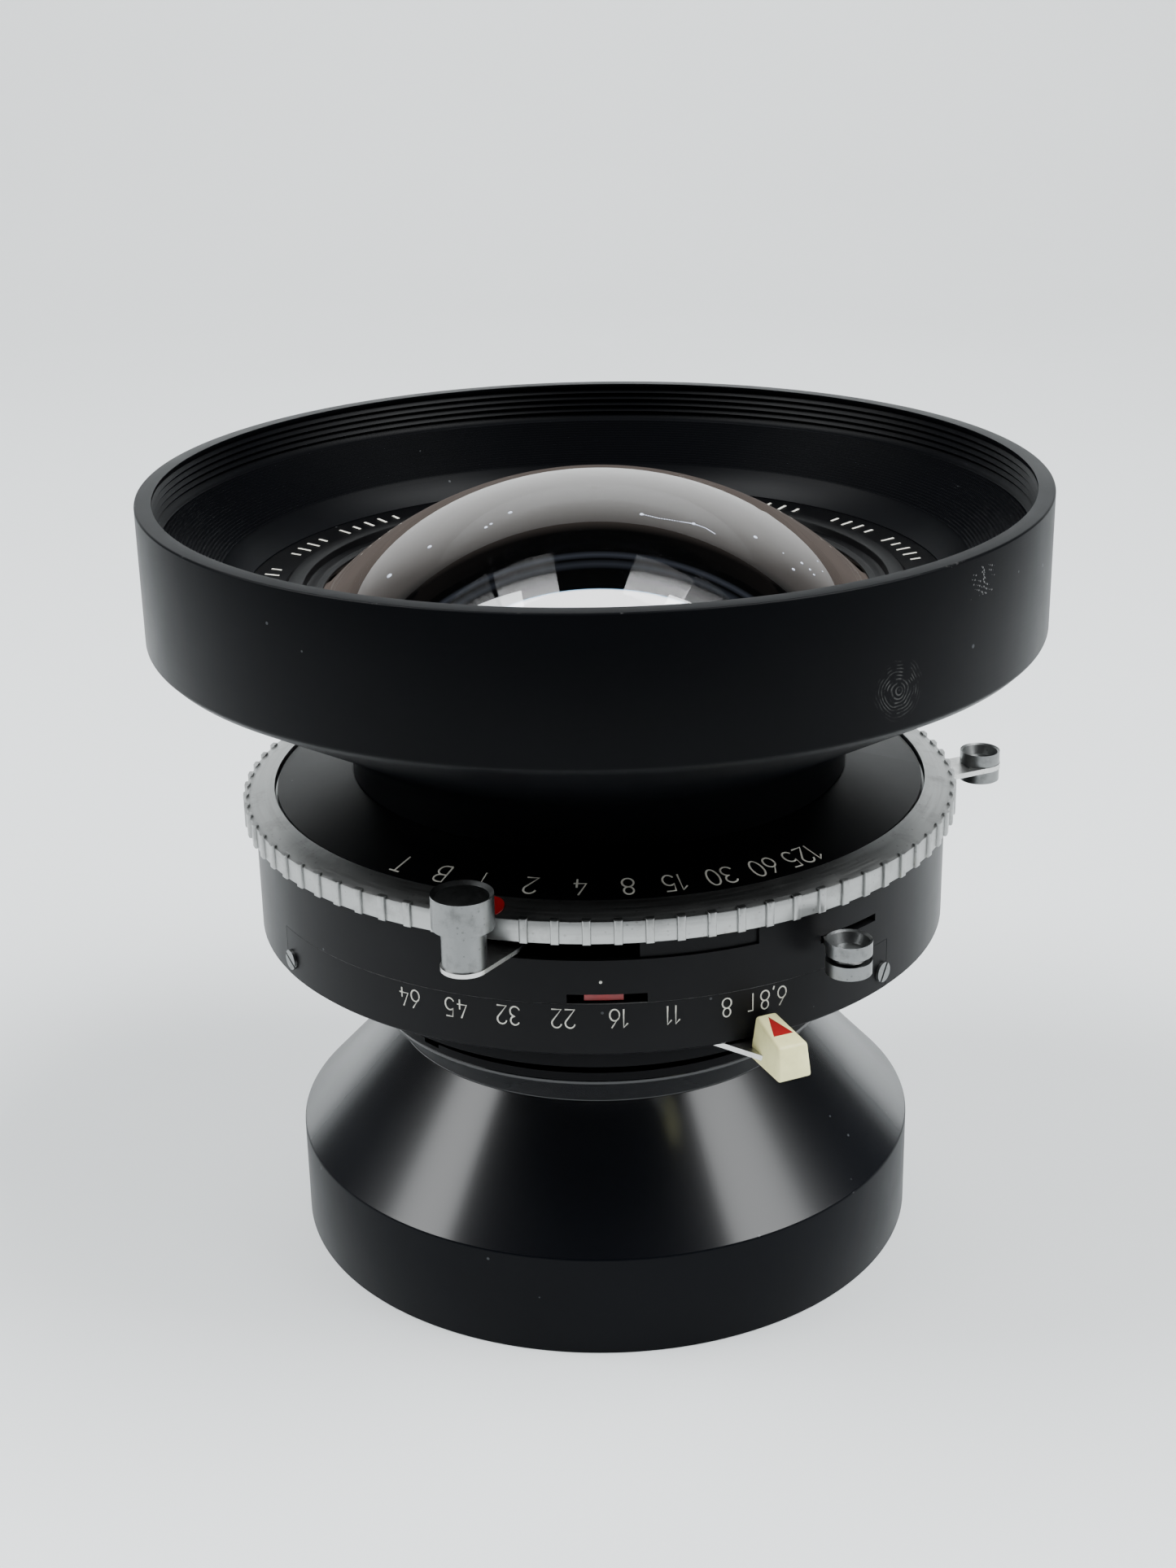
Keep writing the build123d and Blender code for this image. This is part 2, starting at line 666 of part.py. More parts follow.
for k in range(irisBlades):
    nodes[f"iris_blade_{k + 1}"] = irisBlade(k)

os.makedirs("parts", exist_ok=True)
for name, shape in nodes.items():
    solids = shape if isinstance(shape, list) else [shape]
    export_step(Compound(children=[solid for piece in solids for solid in piece.solids()]), f"parts/{name}.step")
print(len(nodes), "nodes; shutter blades turn", round(bladeTurn(shutterPivot, shutterOffset), 3),
      "and iris blades", round(bladeTurn(irisPivot, irisOffset), 3), "degrees")
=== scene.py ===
import bpy
import bmesh
from math import asin, atan2, cos, hypot, pi, radians, sin
from mathutils import Matrix, Vector


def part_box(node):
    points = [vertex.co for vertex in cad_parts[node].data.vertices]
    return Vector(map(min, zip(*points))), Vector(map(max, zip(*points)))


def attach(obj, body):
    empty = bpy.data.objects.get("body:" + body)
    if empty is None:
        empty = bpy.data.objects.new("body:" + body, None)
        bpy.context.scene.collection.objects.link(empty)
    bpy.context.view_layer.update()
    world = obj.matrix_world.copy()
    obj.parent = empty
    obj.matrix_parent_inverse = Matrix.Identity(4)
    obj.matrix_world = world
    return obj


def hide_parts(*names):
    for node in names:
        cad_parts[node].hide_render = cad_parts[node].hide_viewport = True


# Large-format lens in a leaf shutter, standing on its rear barrel.
# The optical axis is Z; azimuths count from +X towards +Y; the scales face -Y.

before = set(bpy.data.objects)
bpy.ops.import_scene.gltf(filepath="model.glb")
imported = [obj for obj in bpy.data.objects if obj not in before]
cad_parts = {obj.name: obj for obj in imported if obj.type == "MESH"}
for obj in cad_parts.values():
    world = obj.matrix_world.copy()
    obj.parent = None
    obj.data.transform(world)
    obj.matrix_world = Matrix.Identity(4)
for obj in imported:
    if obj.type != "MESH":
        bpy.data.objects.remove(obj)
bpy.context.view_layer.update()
scene = bpy.context.scene
mm = 0.001
print("frame loaded:", len(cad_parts), "nodes")

# main sizes read from the frame, in mm
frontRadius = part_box("front_barrel")[1].x / mm
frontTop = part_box("front_barrel")[1].z / mm
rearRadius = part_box("rear_barrel")[1].x / mm
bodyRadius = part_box("shutter_housing")[1].x / mm


# shorthand for shader nodes
def addNode(tree, kind, **settings):
    node = tree.nodes.new(kind)
    for key, value in settings.items():
        setattr(node, key, value)
    return node


def plug(tree, node, values):
    for key, value in values.items():
        socket = node.inputs[key]
        if isinstance(value, bpy.types.NodeSocket):
            tree.links.new(value, socket)
        else:
            socket.default_value = value


def calc(tree, operation, *values, clamp=False):
    node = addNode(tree, "ShaderNodeMath", operation=operation, use_clamp=clamp)
    plug(tree, node, dict(enumerate(values)))
    return node.outputs[0]


def blendColor(tree, share, low, high):
    node = addNode(tree, "ShaderNodeMix", data_type="RGBA")
    plug(tree, node, {0: share, 6: low, 7: high})
    return node.outputs[2]


def remap(tree, value, low, high, toLow=0.0, toHigh=1.0):
    node = addNode(tree, "ShaderNodeMapRange", clamp=True)
    plug(tree, node, {0: value, 1: low, 2: high, 3: toLow, 4: toHigh})
    return node.outputs[0]


def noise(tree, vector, scale, detail=3.0, rough=0.5):
    node = addNode(tree, "ShaderNodeTexNoise")
    plug(tree, node, {"Vector": vector, "Scale": scale, "Detail": detail, "Roughness": rough})
    return node.outputs[0]


def newGroup(name, inputs, outputs):
    tree = bpy.data.node_groups.new(name, "ShaderNodeTree")
    for socketName, kind, value in inputs:
        socket = tree.interface.new_socket(name=socketName, in_out="INPUT", socket_type=kind)
        socket.default_value = value
    for socketName, kind in outputs:
        tree.interface.new_socket(name=socketName, in_out="OUTPUT", socket_type=kind)
    return tree, addNode(tree, "NodeGroupInput").outputs, addNode(tree, "NodeGroupOutput")


number, vector3 = "NodeSocketFloat", "NodeSocketVector"
origin = (0.0, 0.0, 0.0)


# effects that several materials share
def makeTurning():
    # rings left by the lathe: noise stretched round the axis
    tree, given, result = newGroup(
        "turningMarks",
        [("Position", vector3, origin), ("Pitch", number, 0.0004), ("Break", number, 40.0)],
        [("Height", number)])
    parts = addNode(tree, "ShaderNodeSeparateXYZ")
    plug(tree, parts, {0: given["Position"]})
    x, y, z = parts.outputs
    radius = calc(tree, "SQRT", calc(tree, "ADD", calc(tree, "MULTIPLY", x, x), calc(tree, "MULTIPLY", y, y)))
    across = calc(tree, "DIVIDE", calc(tree, "ADD", radius, calc(tree, "MULTIPLY", z, 0.77)), given["Pitch"])
    packed = addNode(tree, "ShaderNodeCombineXYZ")
    plug(tree, packed, {0: across, 1: calc(tree, "MULTIPLY", x, given["Break"]),
                        2: calc(tree, "MULTIPLY", y, given["Break"])})
    plug(tree, result, {"Height": noise(tree, packed.outputs[0], 1.0, 2.0, 0.6)})
    return tree


def makeDust():
    # small light specks, most cells left empty
    tree, given, result = newGroup(
        "dustSpecks",
        [("Position", vector3, origin), ("Scale", number, 300.0), ("Share", number, 0.1),
         ("Size", number, 0.12)],
        [("Mask", number)])
    cells = addNode(tree, "ShaderNodeTexVoronoi")
    plug(tree, cells, {"Vector": given["Position"], "Scale": given["Scale"]})
    pick = addNode(tree, "ShaderNodeSeparateColor")
    plug(tree, pick, {0: cells.outputs["Color"]})
    kept = calc(tree, "LESS_THAN", pick.outputs[0], given["Share"])
    size = calc(tree, "MULTIPLY", given["Size"], calc(tree, "ADD", pick.outputs[1], 0.35))
    dot = calc(tree, "LESS_THAN", cells.outputs["Distance"], size)
    plug(tree, result, {"Mask": calc(tree, "MULTIPLY", kept, dot)})
    return tree


def makeRimWear():
    # bare metal where a turned edge has been knocked; the edge is a circle about the axis
    tree, given, result = newGroup(
        "rimWear",
        [("Position", vector3, origin), ("Radius", number, 0.06), ("Height", number, 0.1),
         ("Width", number, 0.0005), ("Amount", number, 0.5)],
        [("Mask", number)])
    parts = addNode(tree, "ShaderNodeSeparateXYZ")
    plug(tree, parts, {0: given["Position"]})
    x, y, z = parts.outputs
    radius = calc(tree, "SQRT", calc(tree, "ADD", calc(tree, "MULTIPLY", x, x), calc(tree, "MULTIPLY", y, y)))
    dr = calc(tree, "SUBTRACT", radius, given["Radius"])
    dz = calc(tree, "SUBTRACT", z, given["Height"])
    away = calc(tree, "SQRT", calc(tree, "ADD", calc(tree, "MULTIPLY", dr, dr), calc(tree, "MULTIPLY", dz, dz)))
    near = remap(tree, calc(tree, "DIVIDE", away, given["Width"]), 0.0, 1.0, 1.0, 0.0)
    patchy = noise(tree, given["Position"], 260.0, 6.0, 0.7)
    bare = calc(tree, "ADD", calc(tree, "MULTIPLY", near, given["Amount"]), patchy)
    plug(tree, result, {"Mask": remap(tree, bare, 0.78, 0.92)})
    return tree


def makeSmudge():
    # a fingertip's print: fine curved ridges inside a soft patch
    tree, given, result = newGroup(
        "fingerPrint",
        [("Position", vector3, origin), ("Centre", vector3, origin), ("Size", number, 0.006),
         ("Ridge", number, 0.00046)],
        [("Mask", number)])
    away = addNode(tree, "ShaderNodeVectorMath", operation="SUBTRACT")
    plug(tree, away, {0: given["Position"], 1: given["Centre"]})
    length = addNode(tree, "ShaderNodeVectorMath", operation="LENGTH")
    plug(tree, length, {0: away.outputs[0]})
    patch = remap(tree, calc(tree, "DIVIDE", length.outputs["Value"], given["Size"]), 0.55, 1.0, 1.0, 0.0)
    wobble = noise(tree, given["Position"], 160.0, 2.0)
    path = calc(tree, "ADD", length.outputs["Value"], calc(tree, "MULTIPLY", wobble, 0.0032))
    ridges = calc(tree, "SINE", calc(tree, "MULTIPLY", calc(tree, "DIVIDE", path, given["Ridge"]), 2 * pi))
    broken = remap(tree, noise(tree, given["Position"], 900.0, 3.0), 0.42, 0.62)
    lines = calc(tree, "MULTIPLY", remap(tree, ridges, 0.1, 0.8), broken)
    plug(tree, result, {"Mask": calc(tree, "MULTIPLY", lines, patch)})
    return tree


turningMarks = makeTurning()
dustSpecks = makeDust()
rimWear = makeRimWear()
fingerPrint = makeSmudge()


def useGroup(tree, group, **values):
    node = addNode(tree, "ShaderNodeGroup", node_tree=group)
    plug(tree, node, values)
    return node.outputs[0]


def newMaterial(name, **sockets):
    material = bpy.data.materials.new(name)
    material.use_nodes = True
    tree = material.node_tree
    shader = tree.nodes["Principled BSDF"]
    plug(tree, shader, {key.replace("_", " "): value for key, value in sockets.items()})
    place = addNode(tree, "ShaderNodeTexCoord").outputs["Object"]
    return material, tree, shader, place


def bumpFrom(tree, shader, height, strength, distance=0.0001):
    node = addNode(tree, "ShaderNodeBump")
    plug(tree, node, {"Height": height, "Strength": strength, "Distance": distance})
    plug(tree, shader, {"Normal": node.outputs[0]})


# black finishes: color, wear and turning marks
blackLooks = {
    "barrelBlack": {"color": (0.0022, 0.0024, 0.0030, 1), "wear": (0.12, 0.12, 0.12, 1), "rough": 0.36,
                    "pitch": 0.0004, "bump": 0.06, "shine": 0.045},
    "housingBlack": {"color": (0.0050, 0.0050, 0.0056, 1), "wear": (0.16, 0.155, 0.15, 1), "rough": 0.36,
                     "pitch": 0.0003, "bump": 0.04, "shine": 0.08},
    "rearBlack": {"color": (0.0016, 0.0019, 0.0030, 1), "wear": (0.20, 0.20, 0.21, 1), "rough": 0.36,
                  "pitch": 0.0003, "bump": 0.02, "shine": 0.07},
    "innerBlack": {"color": (0.0020, 0.0024, 0.0036, 1), "wear": (0.1, 0.1, 0.1, 1), "rough": 0.34,
                   "pitch": 0.0002, "bump": 0.06, "shine": 0.15},
    "plateBlack": {"color": (0.0016, 0.0016, 0.0019, 1), "wear": (0.12, 0.12, 0.12, 1), "rough": 0.33,
                   "pitch": 0.0003, "bump": 0.02, "shine": 0.08},
    "flangeBlack": {"color": (0.0030, 0.0030, 0.0036, 1), "wear": (0.05, 0.05, 0.05, 1), "rough": 0.42,
                    "pitch": 0.0002, "bump": 0.06, "shine": 0.05},
}


lacquerLook = {"rough": 0.17, "bend": 1.5, "fade": (0.55, 0.95), "leastGloss": 0.18}
blackDust = {"scale": 420.0, "share": 0.05, "size": 0.10, "strength": 0.3, "color": (0.16, 0.17, 0.18, 1)}
printColor = (0.16, 0.16, 0.155, 1)


def blackMetal(name, edges=(), smudge=None, glossAbove=None):
    # black anodised or lacquered metal, worn at the edges named by (radius, height, width, amount) in mm
    look = blackLooks[name]
    material, tree, shader, place = newMaterial(name, Specular_IOR_Level=look["shine"])
    color = blendColor(tree, remap(tree, noise(tree, place, 35.0, 4.0), 0.35, 0.7),
                       look["color"], tuple(1.35 * c for c in look["color"][:3]) + (1,))
    rough = remap(tree, noise(tree, place, 55.0, 5.0, 0.6), 0.3, 0.7, look["rough"] - 0.025, look["rough"] + 0.035)
    if glossAbove:
        parts = addNode(tree, "ShaderNodeSeparateXYZ")
        plug(tree, parts, {0: place})
        lacquer = calc(tree, "GREATER_THAN", parts.outputs[2], glossAbove * mm)
        away = addNode(tree, "ShaderNodeLayerWeight")
        plug(tree, away, {"Blend": 0.5})
        gloss = remap(tree, away.outputs["Facing"], *lacquerLook["fade"], 1.0, lacquerLook["leastGloss"])
        plug(tree, shader, {"Coat Weight": calc(tree, "MULTIPLY", lacquer, gloss),
                            "Coat Roughness": lacquerLook["rough"], "Coat IOR": lacquerLook["bend"]})
    specks = useGroup(tree, dustSpecks, Position=place, Scale=blackDust["scale"], Share=blackDust["share"],
                      Size=blackDust["size"])
    color = blendColor(tree, calc(tree, "MULTIPLY", specks, blackDust["strength"]), color, blackDust["color"])
    if smudge:
        mark = useGroup(tree, fingerPrint, Position=place, Centre=smudge["centre"], Size=smudge["size"])
        color = blendColor(tree, calc(tree, "MULTIPLY", mark, smudge["strength"]), color, printColor)
    for radius, height, width, amount in edges:
        worn = useGroup(tree, rimWear, Position=place, Radius=radius * mm, Height=height * mm,
                        Width=width * mm, Amount=amount)
        color = blendColor(tree, worn, color, look["wear"])
    plug(tree, shader, {"Base Color": color, "Roughness": rough})
    lines = useGroup(tree, turningMarks, Position=place, Pitch=look["pitch"])
    bumpFrom(tree, shader, lines, look["bump"])
    return material


metalLooks = {
    "ringSteel": {"color": (0.35, 0.355, 0.35, 1), "stain": (0.18, 0.18, 0.17, 1), "rough": 0.34, "bump": 0.10},
    "knobSteel": {"color": (0.20, 0.206, 0.206, 1), "stain": (0.08, 0.08, 0.077, 1), "rough": 0.34, "bump": 0.10},
    "leverSteel": {"color": (0.58, 0.58, 0.57, 1), "stain": (0.35, 0.35, 0.34, 1), "rough": 0.30, "bump": 0.12},
    "springSteel": {"color": (0.5, 0.5, 0.5, 1), "stain": (0.3, 0.3, 0.3, 1), "rough": 0.28, "bump": 0.08},
    "bladeSteel": {"color": (0.10, 0.11, 0.13, 1), "stain": (0.06, 0.065, 0.08, 1), "rough": 0.36, "bump": 0.08},
    "darkPlate": {"color": (0.035, 0.036, 0.04, 1), "stain": (0.02, 0.02, 0.022, 1), "rough": 0.42, "bump": 0.08},
    "brassGear": {"color": (0.72, 0.53, 0.24, 1), "stain": (0.45, 0.31, 0.13, 1), "rough": 0.30, "bump": 0.10},
}


def bareMetal(name, grimeScale=240.0, turned=True):
    # uncoated metal with stains and small pits, turned on a lathe or plain
    look = metalLooks[name]
    material, tree, shader, place = newMaterial(name, Metallic=1.0)
    stains = remap(tree, noise(tree, place, grimeScale, 6.0, 0.65), 0.52, 0.75, 0.0, 0.55)
    pits = useGroup(tree, dustSpecks, Position=place, Scale=1500.0, Share=0.25, Size=0.22)
    color = blendColor(tree, stains, look["color"], look["stain"])
    color = blendColor(tree, calc(tree, "MULTIPLY", pits, 0.45), color, look["stain"])
    if turned:
        lines = useGroup(tree, turningMarks, Position=place, Pitch=0.00022, Break=70.0)
    else:
        lines = noise(tree, place, 2600.0, 4.0, 0.6)
    rough = remap(tree, lines, 0.3, 0.7, look["rough"] - 0.05, look["rough"] + 0.08)
    rough = calc(tree, "ADD", rough, calc(tree, "MULTIPLY", stains, 0.15))
    plug(tree, shader, {"Base Color": color, "Roughness": rough})
    bumpFrom(tree, shader, lines, look["bump"])
    return material


def paint(name, color, darker, rough, coat=0.0, grain=0.1):
    # enamel, ink or moulded plastic: a slightly uneven colour with a fine skin
    material, tree, shader, place = newMaterial(name, Coat_Weight=coat)
    tint = blendColor(tree, remap(tree, noise(tree, place, 420.0, 5.0, 0.6), 0.42, 0.72), color, darker)
    plug(tree, shader, {"Base Color": tint,
                        "Roughness": remap(tree, noise(tree, place, 700.0), 0.3, 0.7, rough - 0.05, rough + 0.06)})
    bumpFrom(tree, shader, noise(tree, place, 1800.0, 4.0), grain)
    return material


# steps are shares of slant, from 0 face on to 1 edge on
# front glass: painted shade over the shut range of slant, plus a painted sheen and painted reflection rings drawn as
# glow
glassLooks = {
    "frontGlass": {"tint": (0.55, 0.54, 0.55, 1), "bend": 1.60, "shine": 0.05,
                   "paintedSheen": (0.128, 0.108, 0.097, 1), "paintedRingColor": (0.10, 0.115, 0.15, 1),
                   "paintedShade": (0.26, 0.31), "onset": (0.435, 0.475), "rise": (0.40, 0.76, 0.12, 1.0),
                   "rings": [(0.35, 0.012, 0.3), (0.322, 0.014, 0.2)]},
    "innerGlass": {"tint": (0.96, 0.97, 0.97, 1), "bend": 1.50, "shine": 0.3},
}
hazeColor = (0.1, 0.1, 0.1, 1)
# painted shade: the colour the front glass is darkened to where it is seen aslant
aslantShadeBlack = (0.004, 0.004, 0.004, 1)


def coatedGlass(name):
    # coated glass with a trace of haze
    look = glassLooks[name]
    material, tree, shader, place = newMaterial(name, Metallic=0.0, Transmission_Weight=1.0, IOR=look["bend"],
                                                Specular_IOR_Level=look["shine"])
    haze = remap(tree, noise(tree, place, 90.0, 5.0, 0.65), 0.45, 0.8, 0.0, 0.035)
    clear = blendColor(tree, haze, look["tint"], hazeColor)
    plug(tree, shader, {"Base Color": clear, "Roughness": haze})
    if "paintedSheen" in look:
        addPaintedSheen(tree, shader, clear, look)
    return material


def addPaintedSheen(tree, shader, clear, look):
    # seen aslant, the glass is darkened to a painted shade, and a painted brown sheen and painted bluish reflection
    # rings glow by the slant
    away = addNode(tree, "ShaderNodeLayerWeight")
    plug(tree, away, {"Blend": 0.5})
    slant = away.outputs["Facing"]
    side = addNode(tree, "ShaderNodeNewGeometry")
    paintedShade = calc(tree, "MULTIPLY", remap(tree, slant, *look["paintedShade"]),
                calc(tree, "SUBTRACT", 1.0, side.outputs["Backfacing"]))
    plug(tree, shader, {"Base Color": blendColor(tree, paintedShade, clear, aslantShadeBlack)})
    # painted sheen and painted reflection rings, as emission that follows the slant
    onset = calc(tree, "MULTIPLY", remap(tree, slant, *look["onset"]), remap(tree, slant, *look["rise"]))
    paintedGlow = blendColor(tree, onset, (0, 0, 0, 1), look["paintedSheen"])
    rings = [remap(tree, calc(tree, "ABSOLUTE", calc(tree, "SUBTRACT", slant, at)), 0.0, width, strength, 0.0)
             for at, width, strength in look["rings"]]
    paintedEmission = blendColor(tree, calc(tree, "ADD", *rings), paintedGlow, look["paintedRingColor"])
    plug(tree, shader, {"Emission Color": paintedEmission, "Emission Strength": 1.0})


printAngle = radians(-54.5)
fingertip = {"centre": (frontRadius * cos(printAngle) * mm, frontRadius * sin(printAngle) * mm, 100.6 * mm),
             "size": 0.0042, "strength": 0.30}
materials = {
    "front_barrel": blackMetal(
        "barrelBlack",
        edges=((frontRadius - 0.2, frontTop - 0.2, 0.6, 0.20), (frontRadius, 95.2, 0.4, 0.16)),
        smudge=fingertip),
    "housing": blackMetal("housingBlack", edges=((bodyRadius, 66.0, 0.4, 0.16), (bodyRadius, 49.6, 0.5, 0.16))),
    "rear": blackMetal("rearBlack", edges=((rearRadius, 15.3, 0.4, 0.17), (rearRadius, 0.2, 0.4, 0.14)),
                       glossAbove=15.45),
    "inner": blackMetal("innerBlack"),
    "plate": blackMetal("plateBlack"),
    "flange": blackMetal("flangeBlack"),
    "ring": bareMetal("ringSteel"),
    "knob": bareMetal("knobSteel", 420.0, False),
    "lever": bareMetal("leverSteel"),
    "spring": bareMetal("springSteel"),
    "blade": bareMetal("bladeSteel", 90.0),
    "darkPlate": bareMetal("darkPlate", 90.0),
    "brass": bareMetal("brassGear"),
    "red": paint("redEnamel", (0.33, 0.004, 0.006, 1), (0.22, 0.003, 0.004, 1), 0.40, 0.1),
    "cream": paint("creamPlastic", (0.97, 0.93, 0.47, 1), (0.86, 0.82, 0.40, 1), 0.42, 0.0, 0.05),
    "ink": paint("figureInk", (0.66, 0.65, 0.58, 1), (0.42, 0.41, 0.36, 1), 0.6),
    "blackPlastic": paint("blackPlastic", (0.015, 0.015, 0.015, 1), (0.03, 0.03, 0.03, 1), 0.4),
    "dust": paint("dustGrey", (0.55, 0.60, 0.72, 1), (0.3, 0.33, 0.42, 1), 0.7),
    # light grey: real scuffs on the barrel, and a painted highlight on the scale's upper edge
    "edge": paint("scuffsAndEdgeHighlight", (0.10, 0.10, 0.10, 1), (0.03, 0.03, 0.03, 1), 0.4),
    "frontGlass": coatedGlass("frontGlass"),
    "innerGlass": coatedGlass("innerGlass"),
}
print("materials:", len(materials))


# from bmesh to a finished piece
def finishPiece(name, bm, body, look, sharp=32.0, replaced=()):
    bmesh.ops.remove_doubles(bm, verts=bm.verts, dist=1e-7)
    bmesh.ops.recalc_face_normals(bm, faces=bm.faces)
    mesh = bpy.data.meshes.new(name)
    bm.to_mesh(mesh)
    bm.free()
    mesh.shade_smooth()
    mesh.set_sharp_from_angle(angle=radians(sharp))
    mesh.materials.append(materials[look])
    piece = bpy.data.objects.new(name, mesh)
    scene.collection.objects.link(piece)
    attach(piece, body)
    if replaced:
        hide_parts(*replaced)
    return piece


def spinOutline(bm, outline, steps=256, rounded=0.15, segments=2):
    # closed outline of (radius, height) in mm, spun about the axis, its hard edges rounded
    ring = [bm.verts.new((radius * mm, 0, height * mm)) for radius, height in outline]
    edges = [bm.edges.new((ring[i], ring[(i + 1) % len(ring)])) for i in range(len(ring))]
    bmesh.ops.spin(bm, geom=ring + edges, cent=origin, axis=(0, 0, 1), dvec=origin, angle=2 * pi,
                   steps=steps, use_merge=True, use_duplicate=False)
    bmesh.ops.recalc_face_normals(bm, faces=bm.faces)
    if rounded:
        hard = [e for e in bm.edges if len(e.link_faces) == 2 and e.calc_face_angle() > radians(20)
                and abs(e.verts[0].co.z - e.verts[1].co.z) < 1e-9]
        bmesh.ops.bevel(bm, geom=hard, offset=rounded * mm, offset_type="OFFSET", segments=segments,
                        profile=0.5, affect="EDGES", material=-1, clamp_overlap=True)


def putRound(bm, verts, radius, azimuth, height=0.0):
    # from the axis out to a radius, then round to an azimuth
    turn = Matrix.Rotation(radians(azimuth), 4, "Z") @ Matrix.Translation((radius * mm, 0, height * mm))
    bmesh.ops.transform(bm, matrix=turn, verts=verts)


# front barrel, with its filter thread and light-trapping grooves
frontBarrel = {
    "threadTurns": 5, "threadDepth": 0.42, "bore": 62.0, "threadLow": 109.2,
    "grooves": 19, "grooveDepth": 0.22, "step": (53.2, 103.4), "seat": (50.23, 100.2),
}


def buildFrontBarrel():
    size = frontBarrel
    bore, low = size["bore"], size["threadLow"]
    pitch = (frontTop - 0.6 - low) / size["threadTurns"]
    inside = [(bore, frontTop - 0.02)]
    for k in range(size["threadTurns"]):
        top = frontTop - 0.5 - k * pitch
        inside += [(bore, top), (bore + size["threadDepth"], top - 0.5 * pitch)]
    inside += [(bore, low), (bore - 0.4, low - 0.15)]
    start, end = Vector((bore - 0.6, low - 0.3)), Vector(size["step"])
    along = (end - start) / size["grooves"]
    into = Vector((-along.y, along.x)).normalized() * -size["grooveDepth"]
    for k in range(size["grooves"]):
        crest = start + k * along
        inside += [tuple(crest), tuple(crest + 0.5 * along + into)]
    inside += [size["step"], (size["seat"][0] + 0.6, size["seat"][1] + 0.55), size["seat"]]
    neck = [(50.23, 96.0), (43.83, 96.0), (43.83, 90.0), (34.0, 90.0), (24.0, 82.0), (24.0, 79.0), (26.03, 79.0),
            (26.03, 62.3), (29.0, 62.3), (29.0, 72.95), (36.3, 72.95), (36.3, 76.0), (38.0, 79.4), (39.5, 80.8)]
    outside = [(frontRadius - 1.0, 94.2), (frontRadius, 95.2), (frontRadius, frontTop - 0.05)]
    bm = bmesh.new()
    spinOutline(bm, inside + neck + outside, steps=288, rounded=0)
    crown = [e for e in bm.edges if len(e.link_faces) == 2 and e.calc_face_angle() > radians(25)
             and min(hypot(*v.co.xy) for v in e.verts) > (bore + 0.6) * mm
             and abs(e.verts[0].co.z - e.verts[1].co.z) < 1e-9]
    bmesh.ops.bevel(bm, geom=crown, offset=0.28 * mm, offset_type="OFFSET", segments=3, profile=0.5,
                    affect="EDGES", material=-1)
    finishPiece("front_barrel_shell", bm, "lens_body", "front_barrel", 40.0, ["front_barrel"])


buildFrontBarrel()
print("front barrel")

# name ring, with plain marks in place of lettering
nameRing = {
    "outline": [(39.3, 98.9), (39.3, 99.3), (40.0, 99.36), (40.2, 99.5), (41.0, 99.45), (41.8, 99.4), (42.0, 100.4),
                (44.2, 100.6), (45.0, 99.6), (50.2, 100.1), (50.2, 96.05), (43.75, 96.05), (43.7, 95.6)],
    "slopeFrom": (45.0, 99.6), "slopeTo": (50.2, 100.1),
    "marks": 96, "from": 112.0, "to": 428.0, "radius": 47.5, "markSize": (0.42, 0.05), "markLengths": (2.1, 1.5),
}


def buildNameRing():
    size = nameRing
    bm = bmesh.new()
    spinOutline(bm, size["outline"], steps=224, rounded=0.12)
    finishPiece("name_ring_shell", bm, "lens_body", "plate", 35.0, ["front_name_ring"])
    bm = bmesh.new()
    lowRadius, lowHeight = size["slopeFrom"]
    slope = (size["slopeTo"][1] - lowHeight) / (size["slopeTo"][0] - lowRadius)
    height = lowHeight + slope * (size["radius"] - lowRadius)
    step = (size["to"] - size["from"]) / size["marks"]
    for k in range(size["marks"]):
        if k % 12 in (4, 5, 11):  # the gaps between words
            continue
        length = size["markLengths"][0] if k % 3 else size["markLengths"][1]
        wide, thick = size["markSize"]
        made = bmesh.ops.create_cube(bm, size=1.0)["verts"]
        bmesh.ops.scale(bm, vec=(length * mm, wide * mm, thick * mm), verts=made)
        bmesh.ops.rotate(bm, cent=origin, matrix=Matrix.Rotation(-slope, 3, "Y"), verts=made)
        putRound(bm, made, size["radius"], size["from"] + k * step, height + 0.02)
    finishPiece("name_ring_marks", bm, "lens_body", "ink")


buildNameRing()
print("name ring")

# rear barrel and lens board mount
rearBarrel = {
    "outline": [(44.5, 0), (46.9, 0), (46.9, 15.3), (31.5, 32.0), (34.9, 36.4), (34.9, 37.0), (29.0, 37.0),
                (29.0, 46.5), (26.03, 46.5), (26.03, 32.0), (24.0, 32.0), (24.0, 29.5), (33.0, 21.1), (36.03, 21.1),
                (36.03, 17.5), (41.0, 17.5), (41.0, 9.0), (44.5, 5.0)],
    "flange": [(31.0, 37.06), (31.0, 40.8), (38.0, 40.8), (38.0, 43.4), (37.7, 43.6), (37.7, 44.0), (38.0, 44.2),
               (38.0, 49.47), (29.03, 49.47), (29.03, 37.06)],
}


def buildRear():
    bm = bmesh.new()
    spinOutline(bm, rearBarrel["outline"], steps=256, rounded=0.2, segments=3)
    finishPiece("rear_barrel_shell", bm, "lens_body", "rear", 30.0, ["rear_barrel"])
    bm = bmesh.new()
    spinOutline(bm, rearBarrel["flange"], steps=192, rounded=0.12)
    finishPiece("rear_flange_shell", bm, "lens_body", "flange", 30.0, ["rear_flange"])


buildRear()
print("rear barrel")

# speed ring with its raised ribs
speedRing = {
    "outline": [(47.1, 66.35), (52.0, 66.35), (52.2, 66.5), (52.2, 69.6), (47.95, 70.8), (47.9, 69.6),
                (47.1, 69.6)],
    "radius": 52.2, "ribs": 80, "first": -107.7, "width": 1.15, "proud": 0.4, "sunk": 0.4, "low": 66.4, "high": 69.98,
}


